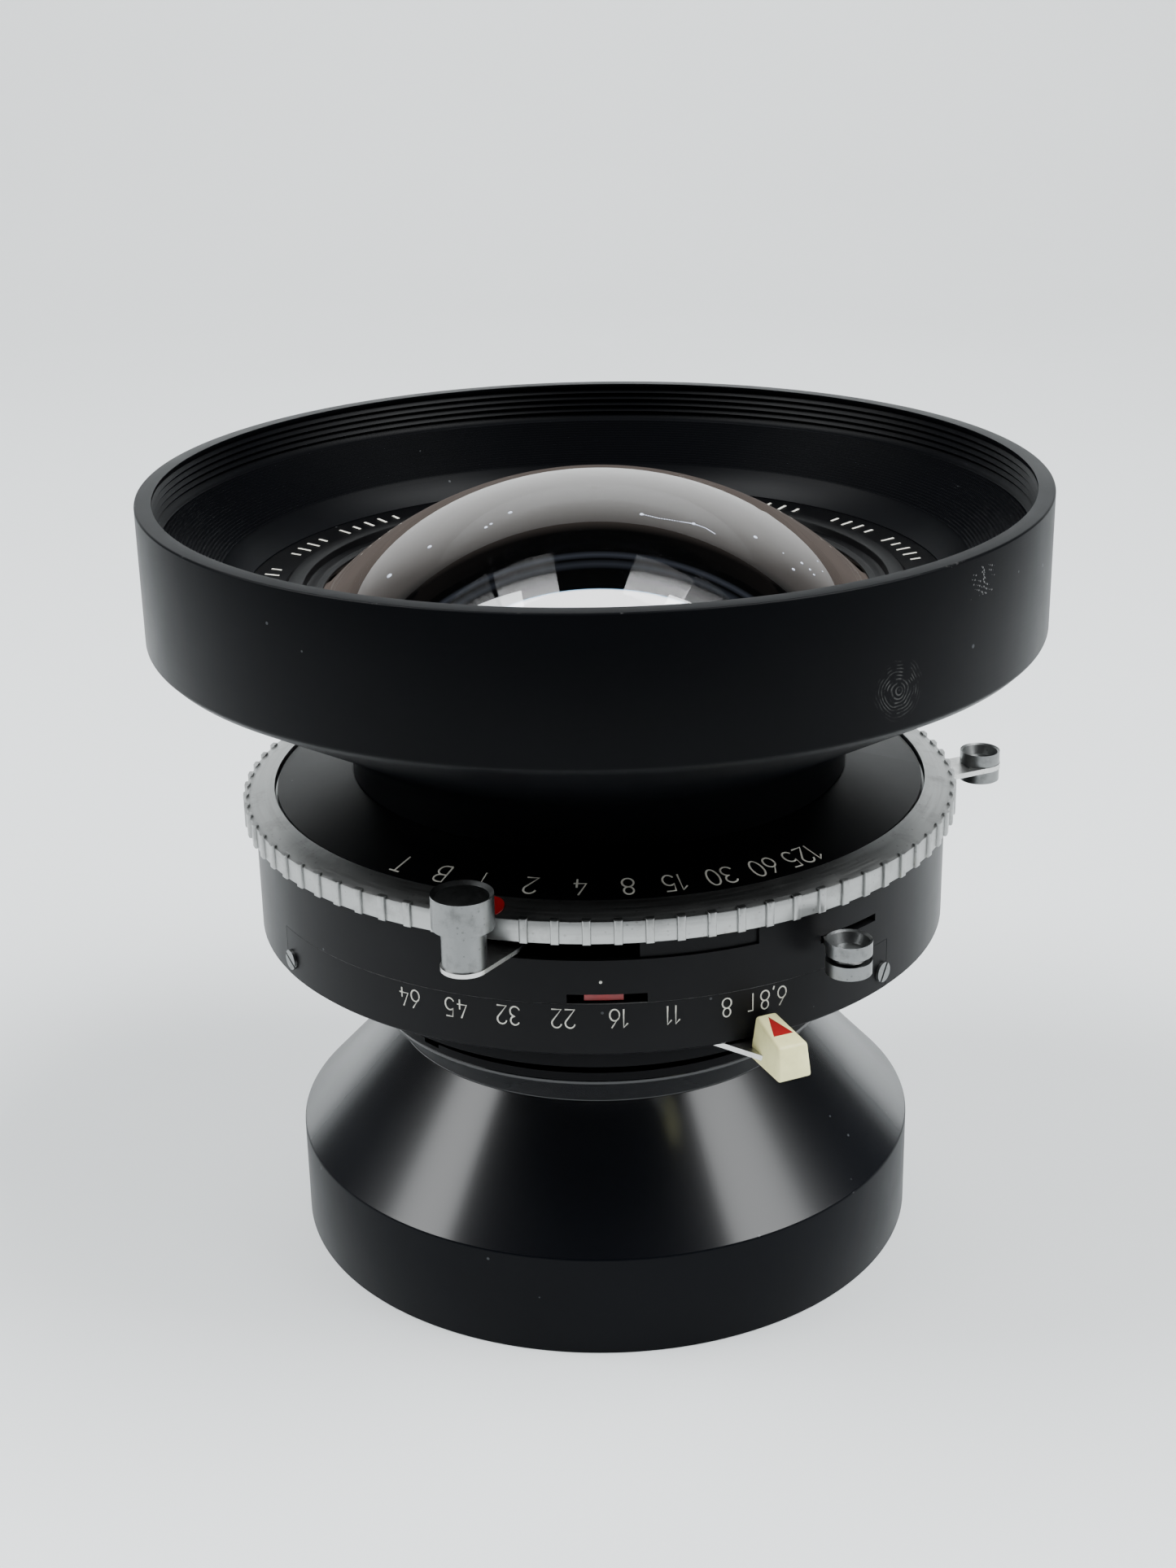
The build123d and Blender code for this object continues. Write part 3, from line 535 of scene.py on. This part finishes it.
def buildSpeedRing():
    size = speedRing
    bm = bmesh.new()
    spinOutline(bm, size["outline"], steps=320, rounded=0.08)
    reach = size["radius"] + (size["proud"] - size["sunk"]) / 2
    for k in range(1, size["ribs"] - 1):  # no rib either side of the index
        rib = bmesh.new()
        made = bmesh.ops.create_cube(rib, size=1.0)["verts"]
        bmesh.ops.scale(rib, vec=((size["proud"] + size["sunk"]) * mm, size["width"] * mm,
                                  (size["high"] - size["low"]) * mm), verts=made)
        outer = [e for e in rib.edges if all(v.co.x > 0 for v in e.verts)]
        bmesh.ops.bevel(rib, geom=outer, offset=0.2 * mm, offset_type="OFFSET", segments=2, profile=0.5,
                        affect="EDGES", material=-1)
        turn = size["first"] + (k + 0.5) * 360 / size["ribs"]
        putRound(rib, rib.verts, reach, turn, (size["low"] + size["high"]) / 2)
        mesh = bpy.data.meshes.new("rib")
        rib.to_mesh(mesh)
        rib.free()
        bm.from_mesh(mesh)
        bpy.data.meshes.remove(mesh)
    finishPiece("speed_ring_ribbed", bm, "speed_control", "ring", 30.0, ["speed_ring"])


buildSpeedRing()
print("speed ring")


# knurled knobs
def flutedDisc(bm, flutes, radius, depth, low, high, chamfer):
    # round bar with rounded flutes cut along it, chamfered at both ends
    perFlute = 6
    made = bmesh.ops.create_cone(bm, cap_ends=True, segments=flutes * perFlute, radius1=radius * mm,
                                 radius2=radius * mm, depth=(high - low) * mm)["verts"]
    bmesh.ops.translate(bm, vec=(0, 0, (low + high) / 2 * mm), verts=made)
    caps = [f for f in bm.faces if len(f.verts) > 8 and all(v in made for v in f.verts)]
    bmesh.ops.inset_region(bm, faces=caps, thickness=chamfer * mm, depth=0, use_even_offset=True)
    insetVerts = {v for f in caps for v in f.verts}
    for v in made:
        phase = atan2(v.co.y, v.co.x) * flutes
        pull = 1 - depth / radius * (0.5 + 0.5 * cos(phase)) ** 2
        v.co.x *= pull
        v.co.y *= pull
        middle = (low + high) / 2 * mm
        v.co.z += -chamfer * mm if v.co.z > middle else chamfer * mm
    for v in insetVerts:
        reach = hypot(v.co.x, v.co.y)
        v.co.x *= (radius - chamfer - depth * 0.6) * mm / reach
        v.co.y *= (radius - chamfer - depth * 0.6) * mm / reach
    return caps


cockingKnob = {"radius": 56.8, "azimuth": -107.9, "low": 64.85, "neck": 70.3, "top": 74.85, "neckRadius": 2.95,
               "flutes": 48, "headRadius": 4.1, "fluteDepth": 0.24, "chamfer": 0.45}


def buildCockingKnob():
    size = cockingKnob
    bm = bmesh.new()
    flutedDisc(bm, size["flutes"], size["headRadius"], size["fluteDepth"], size["neck"], size["top"],
               size["chamfer"])
    neck = bmesh.ops.create_cone(bm, cap_ends=True, segments=64, radius1=size["neckRadius"] * mm,
                                 radius2=size["neckRadius"] * mm,
                                 depth=(size["neck"] - size["low"] + 0.2) * mm)["verts"]
    bmesh.ops.translate(bm, vec=(0, 0, (size["low"] + size["neck"] + 0.2) / 2 * mm), verts=neck)
    putRound(bm, bm.verts, size["radius"], size["azimuth"])
    finishPiece("cocking_knob_knurled", bm, "cocking", "knob", 24.0, ["cocking_knob"])


discKnobs = {
    "release": {"node": "release_knob", "radius": 56.8, "azimuth": -54.9, "low": 61.15, "high": 61.95},
    "preview": {"node": "preview_knob", "radius": 63.5, "azimuth": 19.1, "low": 61.7, "high": 62.5},
}


discShape = {"flutes": 30, "radius": 3.1, "fluteDepth": 0.26, "chamfer": 0.22, "lower": 1.9, "upper": 1.95,
             "wall": 0.62, "dish": 1.35, "hub": 1.2}


def buildDiscKnob(body):
    # two knurled discs on a hub, one either side of the lever, the upper one dished
    size, shape = discKnobs[body], discShape
    disc = (shape["flutes"], shape["radius"], shape["fluteDepth"])
    bm = bmesh.new()
    low, high = size["low"] - 0.03, size["high"] + 0.03
    flutedDisc(bm, *disc, low - shape["lower"], low, shape["chamfer"])
    caps = flutedDisc(bm, *disc, high, high + shape["upper"], shape["chamfer"])
    top = max(caps, key=lambda f: f.calc_center_median().z)
    bmesh.ops.inset_region(bm, faces=[top], thickness=shape["wall"] * mm, use_even_offset=True)
    bmesh.ops.translate(bm, vec=(0, 0, -shape["dish"] * mm), verts=top.verts)
    hub = bmesh.ops.create_cone(bm, cap_ends=True, segments=32, radius1=shape["hub"] * mm,
                                radius2=shape["hub"] * mm, depth=(high - low + 0.4) * mm)["verts"]
    bmesh.ops.translate(bm, vec=(0, 0, (low + high) / 2 * mm), verts=hub)
    putRound(bm, bm.verts, size["radius"], size["azimuth"])
    finishPiece(body + "_knob_knurled", bm, body, "knob", 24.0, [size["node"]])


buildCockingKnob()
for body in discKnobs:
    buildDiscKnob(body)
print("knobs")

# aperture tab, with a red mark on its slope
apertureTab = {"azimuth": -65.3, "inner": 51.9, "outer": 60.2, "outerTop": 59.5, "foot": 47.6, "topInner": 53.5,
               "topOuter": 52.3, "footHalves": (2.4, 2.5), "topHalves": (1.5, 2.2), "rounding": 0.42,
               "mark": [(52.7, 0.0), (56.9, 1.45), (56.9, -1.45)]}


def buildApertureTab():
    size = apertureTab
    bm = bmesh.new()
    made = bmesh.ops.create_cube(bm, size=1.0)["verts"]
    for v in made:
        outer, upper, side = v.co.x > 0, v.co.z > 0, 1 if v.co.y > 0 else -1
        half = size["topHalves" if upper else "footHalves"][outer]
        v.co.x = (size["outerTop" if upper else "outer"] if outer else size["inner"]) * mm
        v.co.y = side * half * mm
        v.co.z = ((size["topOuter"] if outer else size["topInner"]) if upper else size["foot"]) * mm
    bmesh.ops.bevel(bm, geom=list(bm.edges), offset=size["rounding"] * mm, offset_type="OFFSET", segments=4, profile=0.5,
                    affect="EDGES", material=-1)
    bmesh.ops.rotate(bm, cent=origin, matrix=Matrix.Rotation(radians(size["azimuth"]), 3, "Z"), verts=bm.verts)
    finishPiece("aperture_tab_moulded", bm, "aperture_control", "cream", 40.0, ["aperture_tab"])
    bm = bmesh.new()
    fall = (size["topInner"] - size["topOuter"]) / (size["outerTop"] - size["inner"])
    flat = [bm.verts.new((r * mm, w * mm, (size["topInner"] - fall * (r - size["inner"]) + 0.015) * mm))
            for r, w in size["mark"]]
    face = bm.faces.new(flat)
    raised = bmesh.ops.extrude_face_region(bm, geom=[face])["geom"]
    bmesh.ops.translate(bm, vec=(0, 0, -0.08 * mm), verts=[v for v in raised if isinstance(v, bmesh.types.BMVert)])
    bmesh.ops.rotate(bm, cent=origin, matrix=Matrix.Rotation(radians(size["azimuth"]), 3, "Z"), verts=bm.verts)
    finishPiece("aperture_tab_mark", bm, "aperture_control", "red")


buildApertureTab()
print("aperture tab")

# engraved figures
# each stroke is a list of points on a grid 4 wide and 6 high; an arc is (centre x, centre y, radius x, radius y,
# start, end) in degrees
glyphs = {
    "0": (2.9, [[(1.45, 3, 1.45, 3, 0, 360)]]),
    "1": (1.3, [[(0.0, 4.6), (1.2, 6.0), (1.2, 0.0)]]),
    "2": (2.8, [[(1.4, 4.5, 1.4, 1.5, 170, -30), (0.0, 0.0), (2.9, 0.0)]]),
    "3": (2.7, [[(1.3, 4.6, 1.3, 1.4, 160, -90), (1.3, 1.6, 1.45, 1.6, 90, -160)]]),
    "4": (2.9, [[(1.7, 6.0), (0.0, 1.6), (3.0, 1.6)], [(2.2, 3.2), (2.2, 0.0)]]),
    "5": (2.8, [[(2.6, 6.0), (0.5, 6.0), (0.3, 3.3), (1.35, 1.95, 1.45, 1.95, 120, -150)]]),
    "6": (2.8, [[(2.3, 6.0), (1.4, 1.85, 1.4, 1.85, 165, -195)]]),
    "8": (2.7, [[(1.35, 4.6, 1.15, 1.4, 0, 360)], [(1.35, 1.6, 1.4, 1.6, 0, 360)]]),
    ",": (0.8, [[(0.5, 0.3), (0.2, -0.8)]]),
    "B": (2.7, [[(0.0, 0.0), (0.0, 6.0), (1.2, 6.0), (1.2, 4.65, 1.35, 1.35, 90, -90), (0.0, 3.3)],
                [(1.2, 3.3), (1.2, 1.65, 1.6, 1.65, 90, -90), (0.0, 0.0)]]),
    "T": (2.8, [[(0.0, 6.0), (2.8, 6.0)], [(1.4, 6.0), (1.4, 0.0)]]),
    "L": (1.6, [[(0.0, 0.0), (0.0, 5.6), (1.6, 5.6)]]),
}
letterGap = 1.15
figures = {
    "speed": {"height": 3.4, "stroke": 0.25, "radius": 44.6, "coneFrom": (36.5, 72.9), "coneTo": (47.5, 70.5),
              "labels": {"T": -126.5, "B": -118.0, "1": -109.9, "2": -101.7, "4": -93.35, "8": -85.2, "15": -77.3,
                         "30": -69.0, "60": -60.6, "125": -52.5}},
    "aperture": {"height": 2.7, "stroke": 0.17, "middle": 55.05,
                 "labels": {"64": -120.3, "45": -112.3, "32": -104.0, "22": -95.7, "16": -87.5, "11": -79.35,
                            "8": -71.1, "L": -67.27, "6,8": -63.35}},
}


def strokePoints(stroke):
    points = []
    for item in stroke:
        if len(item) == 2:
            points.append(item)
            continue
        cx, cy, rx, ry, start, end = item
        count = max(4, int(abs(end - start) / 15))
        for k in range(count + 1):
            turn = radians(start + (end - start) * k / count)
            points.append((cx + rx * cos(turn), cy + ry * sin(turn)))
    return points


def sinkOf(size):
    # most of each round stroke lies below the surface
    return size["stroke"] * 0.80


def onSpeedPlate(label, x, y, size):
    # tops of the figures point away from the axis, on the cone
    azimuth = label - x / size["radius"] * 180 / pi
    reach = size["radius"] + y
    (innerRadius, top), (outerRadius, foot) = size["coneFrom"], size["coneTo"]
    height = top - (reach - innerRadius) * (top - foot) / (outerRadius - innerRadius)
    return Vector((reach * cos(radians(azimuth)), reach * sin(radians(azimuth)), height - sinkOf(size)))


def onHousing(label, x, y, size):
    # tops of the figures point down, on the cylinder
    azimuth = label - x / bodyRadius * 180 / pi
    reach = bodyRadius - sinkOf(size)
    return Vector((reach * cos(radians(azimuth)), reach * sin(radians(azimuth)), size["middle"] - y))


def writeFigures(name, where, size):
    curve = bpy.data.curves.new(name, "CURVE")
    curve.dimensions = "3D"
    curve.bevel_depth = size["stroke"] * mm
    curve.bevel_resolution = 2
    curve.use_fill_caps = True
    unit = size["height"] / 6.0
    for text, label in size["labels"].items():
        total = sum(glyphs[c][0] for c in text) + letterGap * (len(text) - 1)
        left = -total / 2
        for c in text:
            width, strokes = glyphs[c]
            for stroke in strokes:
                points = strokePoints(stroke)
                closed = hypot(points[0][0] - points[-1][0], points[0][1] - points[-1][1]) < 1e-6
                points = points[:-1] if closed else points
                spline = curve.splines.new("POLY")
                spline.points.add(len(points) - 1)
                spline.use_cyclic_u = closed
                for k, (px, py) in enumerate(points):
                    spot = where(label, (left + px) * unit, (py - 3.0) * unit, size) * mm
                    spline.points[k].co = (*spot, 1)
            left += width + letterGap
    drawn = bpy.data.objects.new(name, curve)
    scene.collection.objects.link(drawn)
    bpy.context.view_layer.update()
    mesh = bpy.data.meshes.new_from_object(drawn)
    bpy.data.objects.remove(drawn)
    bm = bmesh.new()
    bm.from_mesh(mesh)
    bpy.data.meshes.remove(mesh)
    finishPiece(name, bm, "lens_body", "ink", 60.0)


writeFigures("speed_figures", onSpeedPlate, figures["speed"])
writeFigures("aperture_figures", onHousing, figures["aperture"])
print("figures")

# red dot of the speed index, cut to the slope of the ring
indexDot = {"radius": 50.15, "azimuth": -106.5, "reach": 1.85, "height": 70.14, "fall": 0.282, "thick": 0.3}


def buildIndexDot():
    size = indexDot
    bm = bmesh.new()
    made = bmesh.ops.create_cone(bm, cap_ends=True, segments=48, radius1=size["reach"] * mm,
                                 radius2=size["reach"] * mm, depth=size["thick"] * mm)["verts"]
    for v in made:
        v.co.z -= v.co.x * size["fall"]
    putRound(bm, made, size["radius"], size["azimuth"], size["height"])
    finishPiece("speed_index_dot", bm, "speed_control", "red", 40.0, ["speed_index"])


def addSpeck(bm, spot, normal, reach, thin=0.35):
    # a flattened ball, half sunk in the surface
    made = bmesh.ops.create_icosphere(bm, subdivisions=2, radius=reach * mm)["verts"]
    bmesh.ops.scale(bm, vec=(1, 1, thin), verts=made)
    turn = normal.to_track_quat("Z", "Y").to_matrix().to_4x4()
    bmesh.ops.transform(bm, matrix=Matrix.Translation(spot * mm) @ turn, verts=made)


def outwards(azimuth):
    return Vector((cos(radians(azimuth)), sin(radians(azimuth)), 0))


housingDot = {"azimuth": -90.1, "height": 60.4, "reach": 0.22}


def buildHousingDot():
    size = housingDot
    out = outwards(size["azimuth"])
    bm = bmesh.new()
    addSpeck(bm, out * bodyRadius + Vector((0, 0, size["height"])), out, size["reach"], 0.2)
    finishPiece("housing_dot", bm, "lens_body", "ink")


# upper edge of the aperture scale as a thin light strip, a painted highlight, tapered at both ends
scaleEdge = {"from": -147.0, "to": -43.0, "height": 57.2, "width": 0.13, "least": 0.005, "proud": 0.012,
             "depth": 0.1, "steps": 104, "taperSteps": 8}


def buildScaleEdge():
    size = scaleEdge
    bm = bmesh.new()
    start = outwards(size["from"])
    outline = [(-size["depth"], -1), (size["proud"], 0), (-size["depth"], 1)]
    ring = [bm.verts.new((*(start * (bodyRadius + r) * mm).xy, side)) for r, side in outline]
    wedge = bm.faces.new(ring)
    bmesh.ops.spin(bm, geom=[wedge], cent=origin, axis=(0, 0, 1), dvec=origin,
                   angle=radians(size["to"] - size["from"]), steps=size["steps"], use_duplicate=False)
    for v in bm.verts:
        step = (atan2(v.co.y, v.co.x) - radians(size["from"])) / radians(size["to"] - size["from"]) * size["steps"]
        taper = max(0.0, min(1.0, step / size["taperSteps"], (size["steps"] - step) / size["taperSteps"]))
        v.co.z = (size["height"] + v.co.z * (size["width"] / 2 * taper + size["least"])) * mm
    finishPiece("scale_edge", bm, "lens_body", "edge")


# droplets and a hair on the dome, as (x, y, radius) and (x, y)
domeDust = {
    "ball": 55.1, "centre": 59.8, "hairReach": 0.11, "hairSteps": 8,
    "specks": [(-28.4, -14.0, 0.42), (-22.8, -12.3, 0.34), (-14.9, -12.9, 0.26), (-14.2, -12.4, 0.24),
               (-11.6, -10.5, 0.32), (22.2, -11.7, 0.32), (28.6, -12.4, 0.24), (29.7, -12.8, 0.2),
               (30.2, -13.5, 0.18), (27.2, -15.3, 0.26), (31.1, -8.8, 0.14), (26.0, -12.5, 0.12),
               (31.6, -11.0, 0.12), (6.5, -13.4, 0.3), (13.6, -13.6, 0.3)],
    "hair": [(6.5, -13.4), (8.9, -13.9), (11.7, -13.8), (13.6, -13.6), (15.2, -13.9), (16.6, -14.8)],
}


def onDome(x, y):
    rise = (domeDust["ball"] ** 2 - x * x - y * y) ** 0.5
    return Vector((x, y, domeDust["centre"] + rise)), Vector((x, y, rise)).normalized()


def buildDomeDust():
    size = domeDust
    bm = bmesh.new()
    for x, y, reach in size["specks"]:
        addSpeck(bm, *onDome(x, y), reach)
    for (x0, y0), (x1, y1) in zip(size["hair"], size["hair"][1:]):
        for k in range(size["hairSteps"]):
            share = k / size["hairSteps"]
            addSpeck(bm, *onDome(x0 + (x1 - x0) * share, y0 + (y1 - y0) * share), size["hairReach"])
    finishPiece("dome_dust", bm, "lens_body", "dust")


barrelScuffs = {"count": 64, "azimuth": -40.6, "spread": 2.4, "height": 111.3, "rise": 1.9, "reach": 0.04}


def buildBarrelScuffs():
    # fine chips near the rim, spread evenly but without a pattern by two odd fractions
    size = barrelScuffs
    bm = bmesh.new()
    for k in range(size["count"]):
        shift, rise = 2 * (k * 0.6180 % 1) - 1, 2 * (k * 0.7549 % 1) - 1
        out = outwards(size["azimuth"] + size["spread"] * shift * abs(shift))
        spot = out * frontRadius + Vector((0, 0, size["height"] + size["rise"] * rise))
        addSpeck(bm, spot, out, size["reach"] * (1 + k % 3), 0.12)
    finishPiece("barrel_scuffs", bm, "lens_body", "edge")


buildIndexDot()
buildHousingDot()
buildScaleEdge()
buildDomeDust()
buildBarrelScuffs()
print("index, marks and dust")

# finishes of the pieces kept as they are
nodeLooks = {
    "frontGlass": ["front_outer_lens", "rear_outer_lens"],
    "innerGlass": ["front_inner_lens", "rear_inner_lens"],
    "inner": ["front_inner_ring", "rear_inner_ring", "rear_retaining_ring"],
    "flange": ["lens_board_ring"],
    "housing": ["shutter_housing", "aperture_scale", "light_shield"],
    "plate": ["speed_plate"],
    "darkPlate": ["blade_plate", "main_plate", "front_plate", "shutter_drive_ring", "iris_drive_ring"],
    "ring": ["speed_cam"],
    "lever": ["cocking_ring", "cocking_lever", "release_lever", "preview_lever", "aperture_ring", "cable_socket",
              "sync_socket"],
    "knob": ["scale_screws", "cable_plunger"],
    "spring": ["main_spring", "release_spring"],
    "red": ["speed_index", "open_flag"],
    "brass": ["retard_gear", "star_wheel", "sync_pin"],
    "blackPlastic": ["sync_insulator"],
    "blade": [f"shutter_blade_{k}" for k in range(1, 6)] + [f"iris_blade_{k}" for k in range(1, 8)],
}
for look, names in nodeLooks.items():
    for name in names:
        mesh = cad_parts[name].data
        mesh.materials.clear()
        mesh.materials.append(materials[look])
print("carried-over nodes")


# table, light and camera
paper = {"half": 1.5, "near": -0.42, "bendFrom": 0.75, "bendRadius": 0.5, "top": 1.55,
         "color": (0.80, 0.825, 0.835, 1), "rough": 0.75}


def addPaper():
    # a sheet of paper that runs up into a wall behind
    reach, far = paper["bendRadius"], paper["bendFrom"]
    bend = [(far + reach * sin(radians(a)), reach - reach * cos(radians(a))) for a in range(0, 91, 6)]
    outline = [(paper["near"], 0.0), (0.2, 0.0)] + bend + [(far + reach, paper["top"])]
    bm = bmesh.new()
    verts = [bm.verts.new((-paper["half"], y, z)) for y, z in outline]
    edges = [bm.edges.new((verts[i], verts[i + 1])) for i in range(len(verts) - 1)]
    made = bmesh.ops.extrude_edge_only(bm, edges=edges)["geom"]
    bmesh.ops.translate(bm, vec=(2 * paper["half"], 0, 0), verts=[v for v in made if isinstance(v, bmesh.types.BMVert)])
    bmesh.ops.recalc_face_normals(bm, faces=bm.faces)
    mesh = bpy.data.meshes.new("paperSweep")
    bm.to_mesh(mesh)
    bm.free()
    mesh.shade_smooth()
    material, tree, shader, spot = newMaterial("paperSweep")
    tint = blendColor(tree, remap(tree, noise(tree, spot, 6.0, 4.0), 0.35, 0.7), paper["color"],
                      tuple(0.975 * c for c in paper["color"][:3]) + (1,))
    plug(tree, shader, {"Base Color": tint, "Roughness": paper["rough"]})
    mesh.materials.append(material)
    sheet = bpy.data.objects.new("paperSweep", mesh)
    scene.collection.objects.link(sheet)


addPaper()

# painted light: a glowing disc, not a lamp, standing in for the lit table seen through the glass
paintedTableGlow = {"radius": 20.0, "near": 5.0, "height": 85.5, "color": (0.9, 0.93, 0.93, 1), "strength": 4.0,
             "rimWidth": 0.9, "paintedRimColor": (0.05, 0.22, 0.40, 1)}


def addPaintedTableGlow():
    # painted light: a glowing disc hung inside the lens in place of the lit table that the front glass shows, the far
    # part of a disc with a blue rim
    size = paintedTableGlow
    radius, height, color = size["radius"], size["height"], size["color"]
    bm = bmesh.new()
    start = asin(size["near"] / radius)
    turns = [start + (pi - 2 * start) * k / 48 for k in range(49)]
    bm.faces.new([bm.verts.new((radius * cos(t) * mm, radius * sin(t) * mm, height * mm)) for t in turns])
    mesh = bpy.data.meshes.new("paintedTableGlow")
    bm.to_mesh(mesh)
    bm.free()
    material, tree, shader, spot = newMaterial("paintedTableGlow", Emission_Strength=size["strength"])
    paintedGlow = blendColor(tree, remap(tree, noise(tree, spot, 30.0), 0.3, 0.7), color,
                      tuple(0.96 * c for c in color[:3]) + (1,))
    reach = addNode(tree, "ShaderNodeVectorMath", operation="LENGTH")
    plug(tree, reach, {0: spot})
    rim = remap(tree, reach.outputs["Value"], hypot(radius - size["rimWidth"], height) * mm,
                hypot(radius, height) * mm)
    paintedGlow = blendColor(tree, rim, paintedGlow, size["paintedRimColor"])
    plug(tree, shader, {"Base Color": paintedGlow, "Emission Color": paintedGlow})
    mesh.materials.append(material)
    patch = bpy.data.objects.new("paintedTableGlow", mesh)
    scene.collection.objects.link(patch)


addPaintedTableGlow()

coolWhite, warmWhite = (0.97, 0.99, 1.0), (1.0, 0.995, 0.98)
lensFoot = (0, 0, 0.02)
lights = {
    "leftBox": {"at": (-0.80, -0.10, 0.61), "size": (0.66, 0.40), "power": 6.3, "color": coolWhite,
                "target": lensFoot, "spread": 180},
    "rightBox": {"at": (0.73, -0.22, 0.66), "size": (0.72, 0.44), "power": 7.2, "color": coolWhite,
                 "target": lensFoot, "spread": 180},
    "leftHigh": {"at": (-0.54, -0.02, 1.01), "size": (0.5, 0.5), "power": 14.0, "color": coolWhite,
                 "target": lensFoot, "spread": 180},
    "rightHigh": {"at": (0.50, -0.10, 1.04), "size": (0.5, 0.5), "power": 16.0, "color": coolWhite,
                  "target": lensFoot, "spread": 180},
    "wallLeft": {"at": (-1.35, 0.55, 1.1), "size": (0.5, 1.0), "power": 5.6, "color": warmWhite,
                 "target": (0.25, 1.25, 0.75), "spread": 75},
    "wallRight": {"at": (1.35, 0.55, 1.1), "size": (0.5, 1.0), "power": 5.6, "color": warmWhite,
                  "target": (-0.25, 1.25, 0.75), "spread": 75},
}


def addLight(name, look):
    lamp = bpy.data.lights.new(name, "AREA")
    lamp.shape = "RECTANGLE"
    lamp.size, lamp.size_y = look["size"]
    lamp.energy = look["power"]
    lamp.color = look["color"]
    lamp.spread = radians(look["spread"])
    holder = bpy.data.objects.new(name, lamp)
    holder.location = look["at"]
    aim = Vector(look["target"]) - Vector(look["at"])
    holder.rotation_euler = aim.to_track_quat("-Z", "Y").to_euler()
    scene.collection.objects.link(holder)


for name, look in lights.items():
    addLight(name, look)

world = bpy.data.worlds.new("studioAir")
world.use_nodes = True
world.node_tree.nodes["Background"].inputs["Color"].default_value = (0.80, 0.84, 0.90, 1)
world.node_tree.nodes["Background"].inputs["Strength"].default_value = 0.03
scene.world = world

# place in mm, angles in radians, focal length in mm
camera = {"at": (1.46, -326.14, 197.48), "yaw": -0.0097, "pitch": 0.3780, "roll": -0.0198, "focal": 72.03}


def addCamera():
    yaw, pitch, roll = camera["yaw"], camera["pitch"], camera["roll"]
    ahead = Vector((sin(yaw) * cos(pitch), cos(yaw) * cos(pitch), -sin(pitch)))
    right = ahead.cross(Vector((0, 0, 1))).normalized()
    up = right.cross(ahead)
    sideways = right * cos(roll) + up * sin(roll)
    upwards = up * cos(roll) - right * sin(roll)
    lens = bpy.data.cameras.new("studioCamera")
    lens.sensor_fit = "HORIZONTAL"
    lens.sensor_width = 36.0
    lens.lens = camera["focal"]
    lens.clip_start = 0.01
    holder = bpy.data.objects.new("studioCamera", lens)
    turn = Matrix((sideways, upwards, -ahead)).transposed().to_4x4()
    holder.matrix_world = Matrix.Translation(Vector(camera["at"]) * mm) @ turn
    scene.collection.objects.link(holder)
    scene.camera = holder


addCamera()
print("table, light and camera")
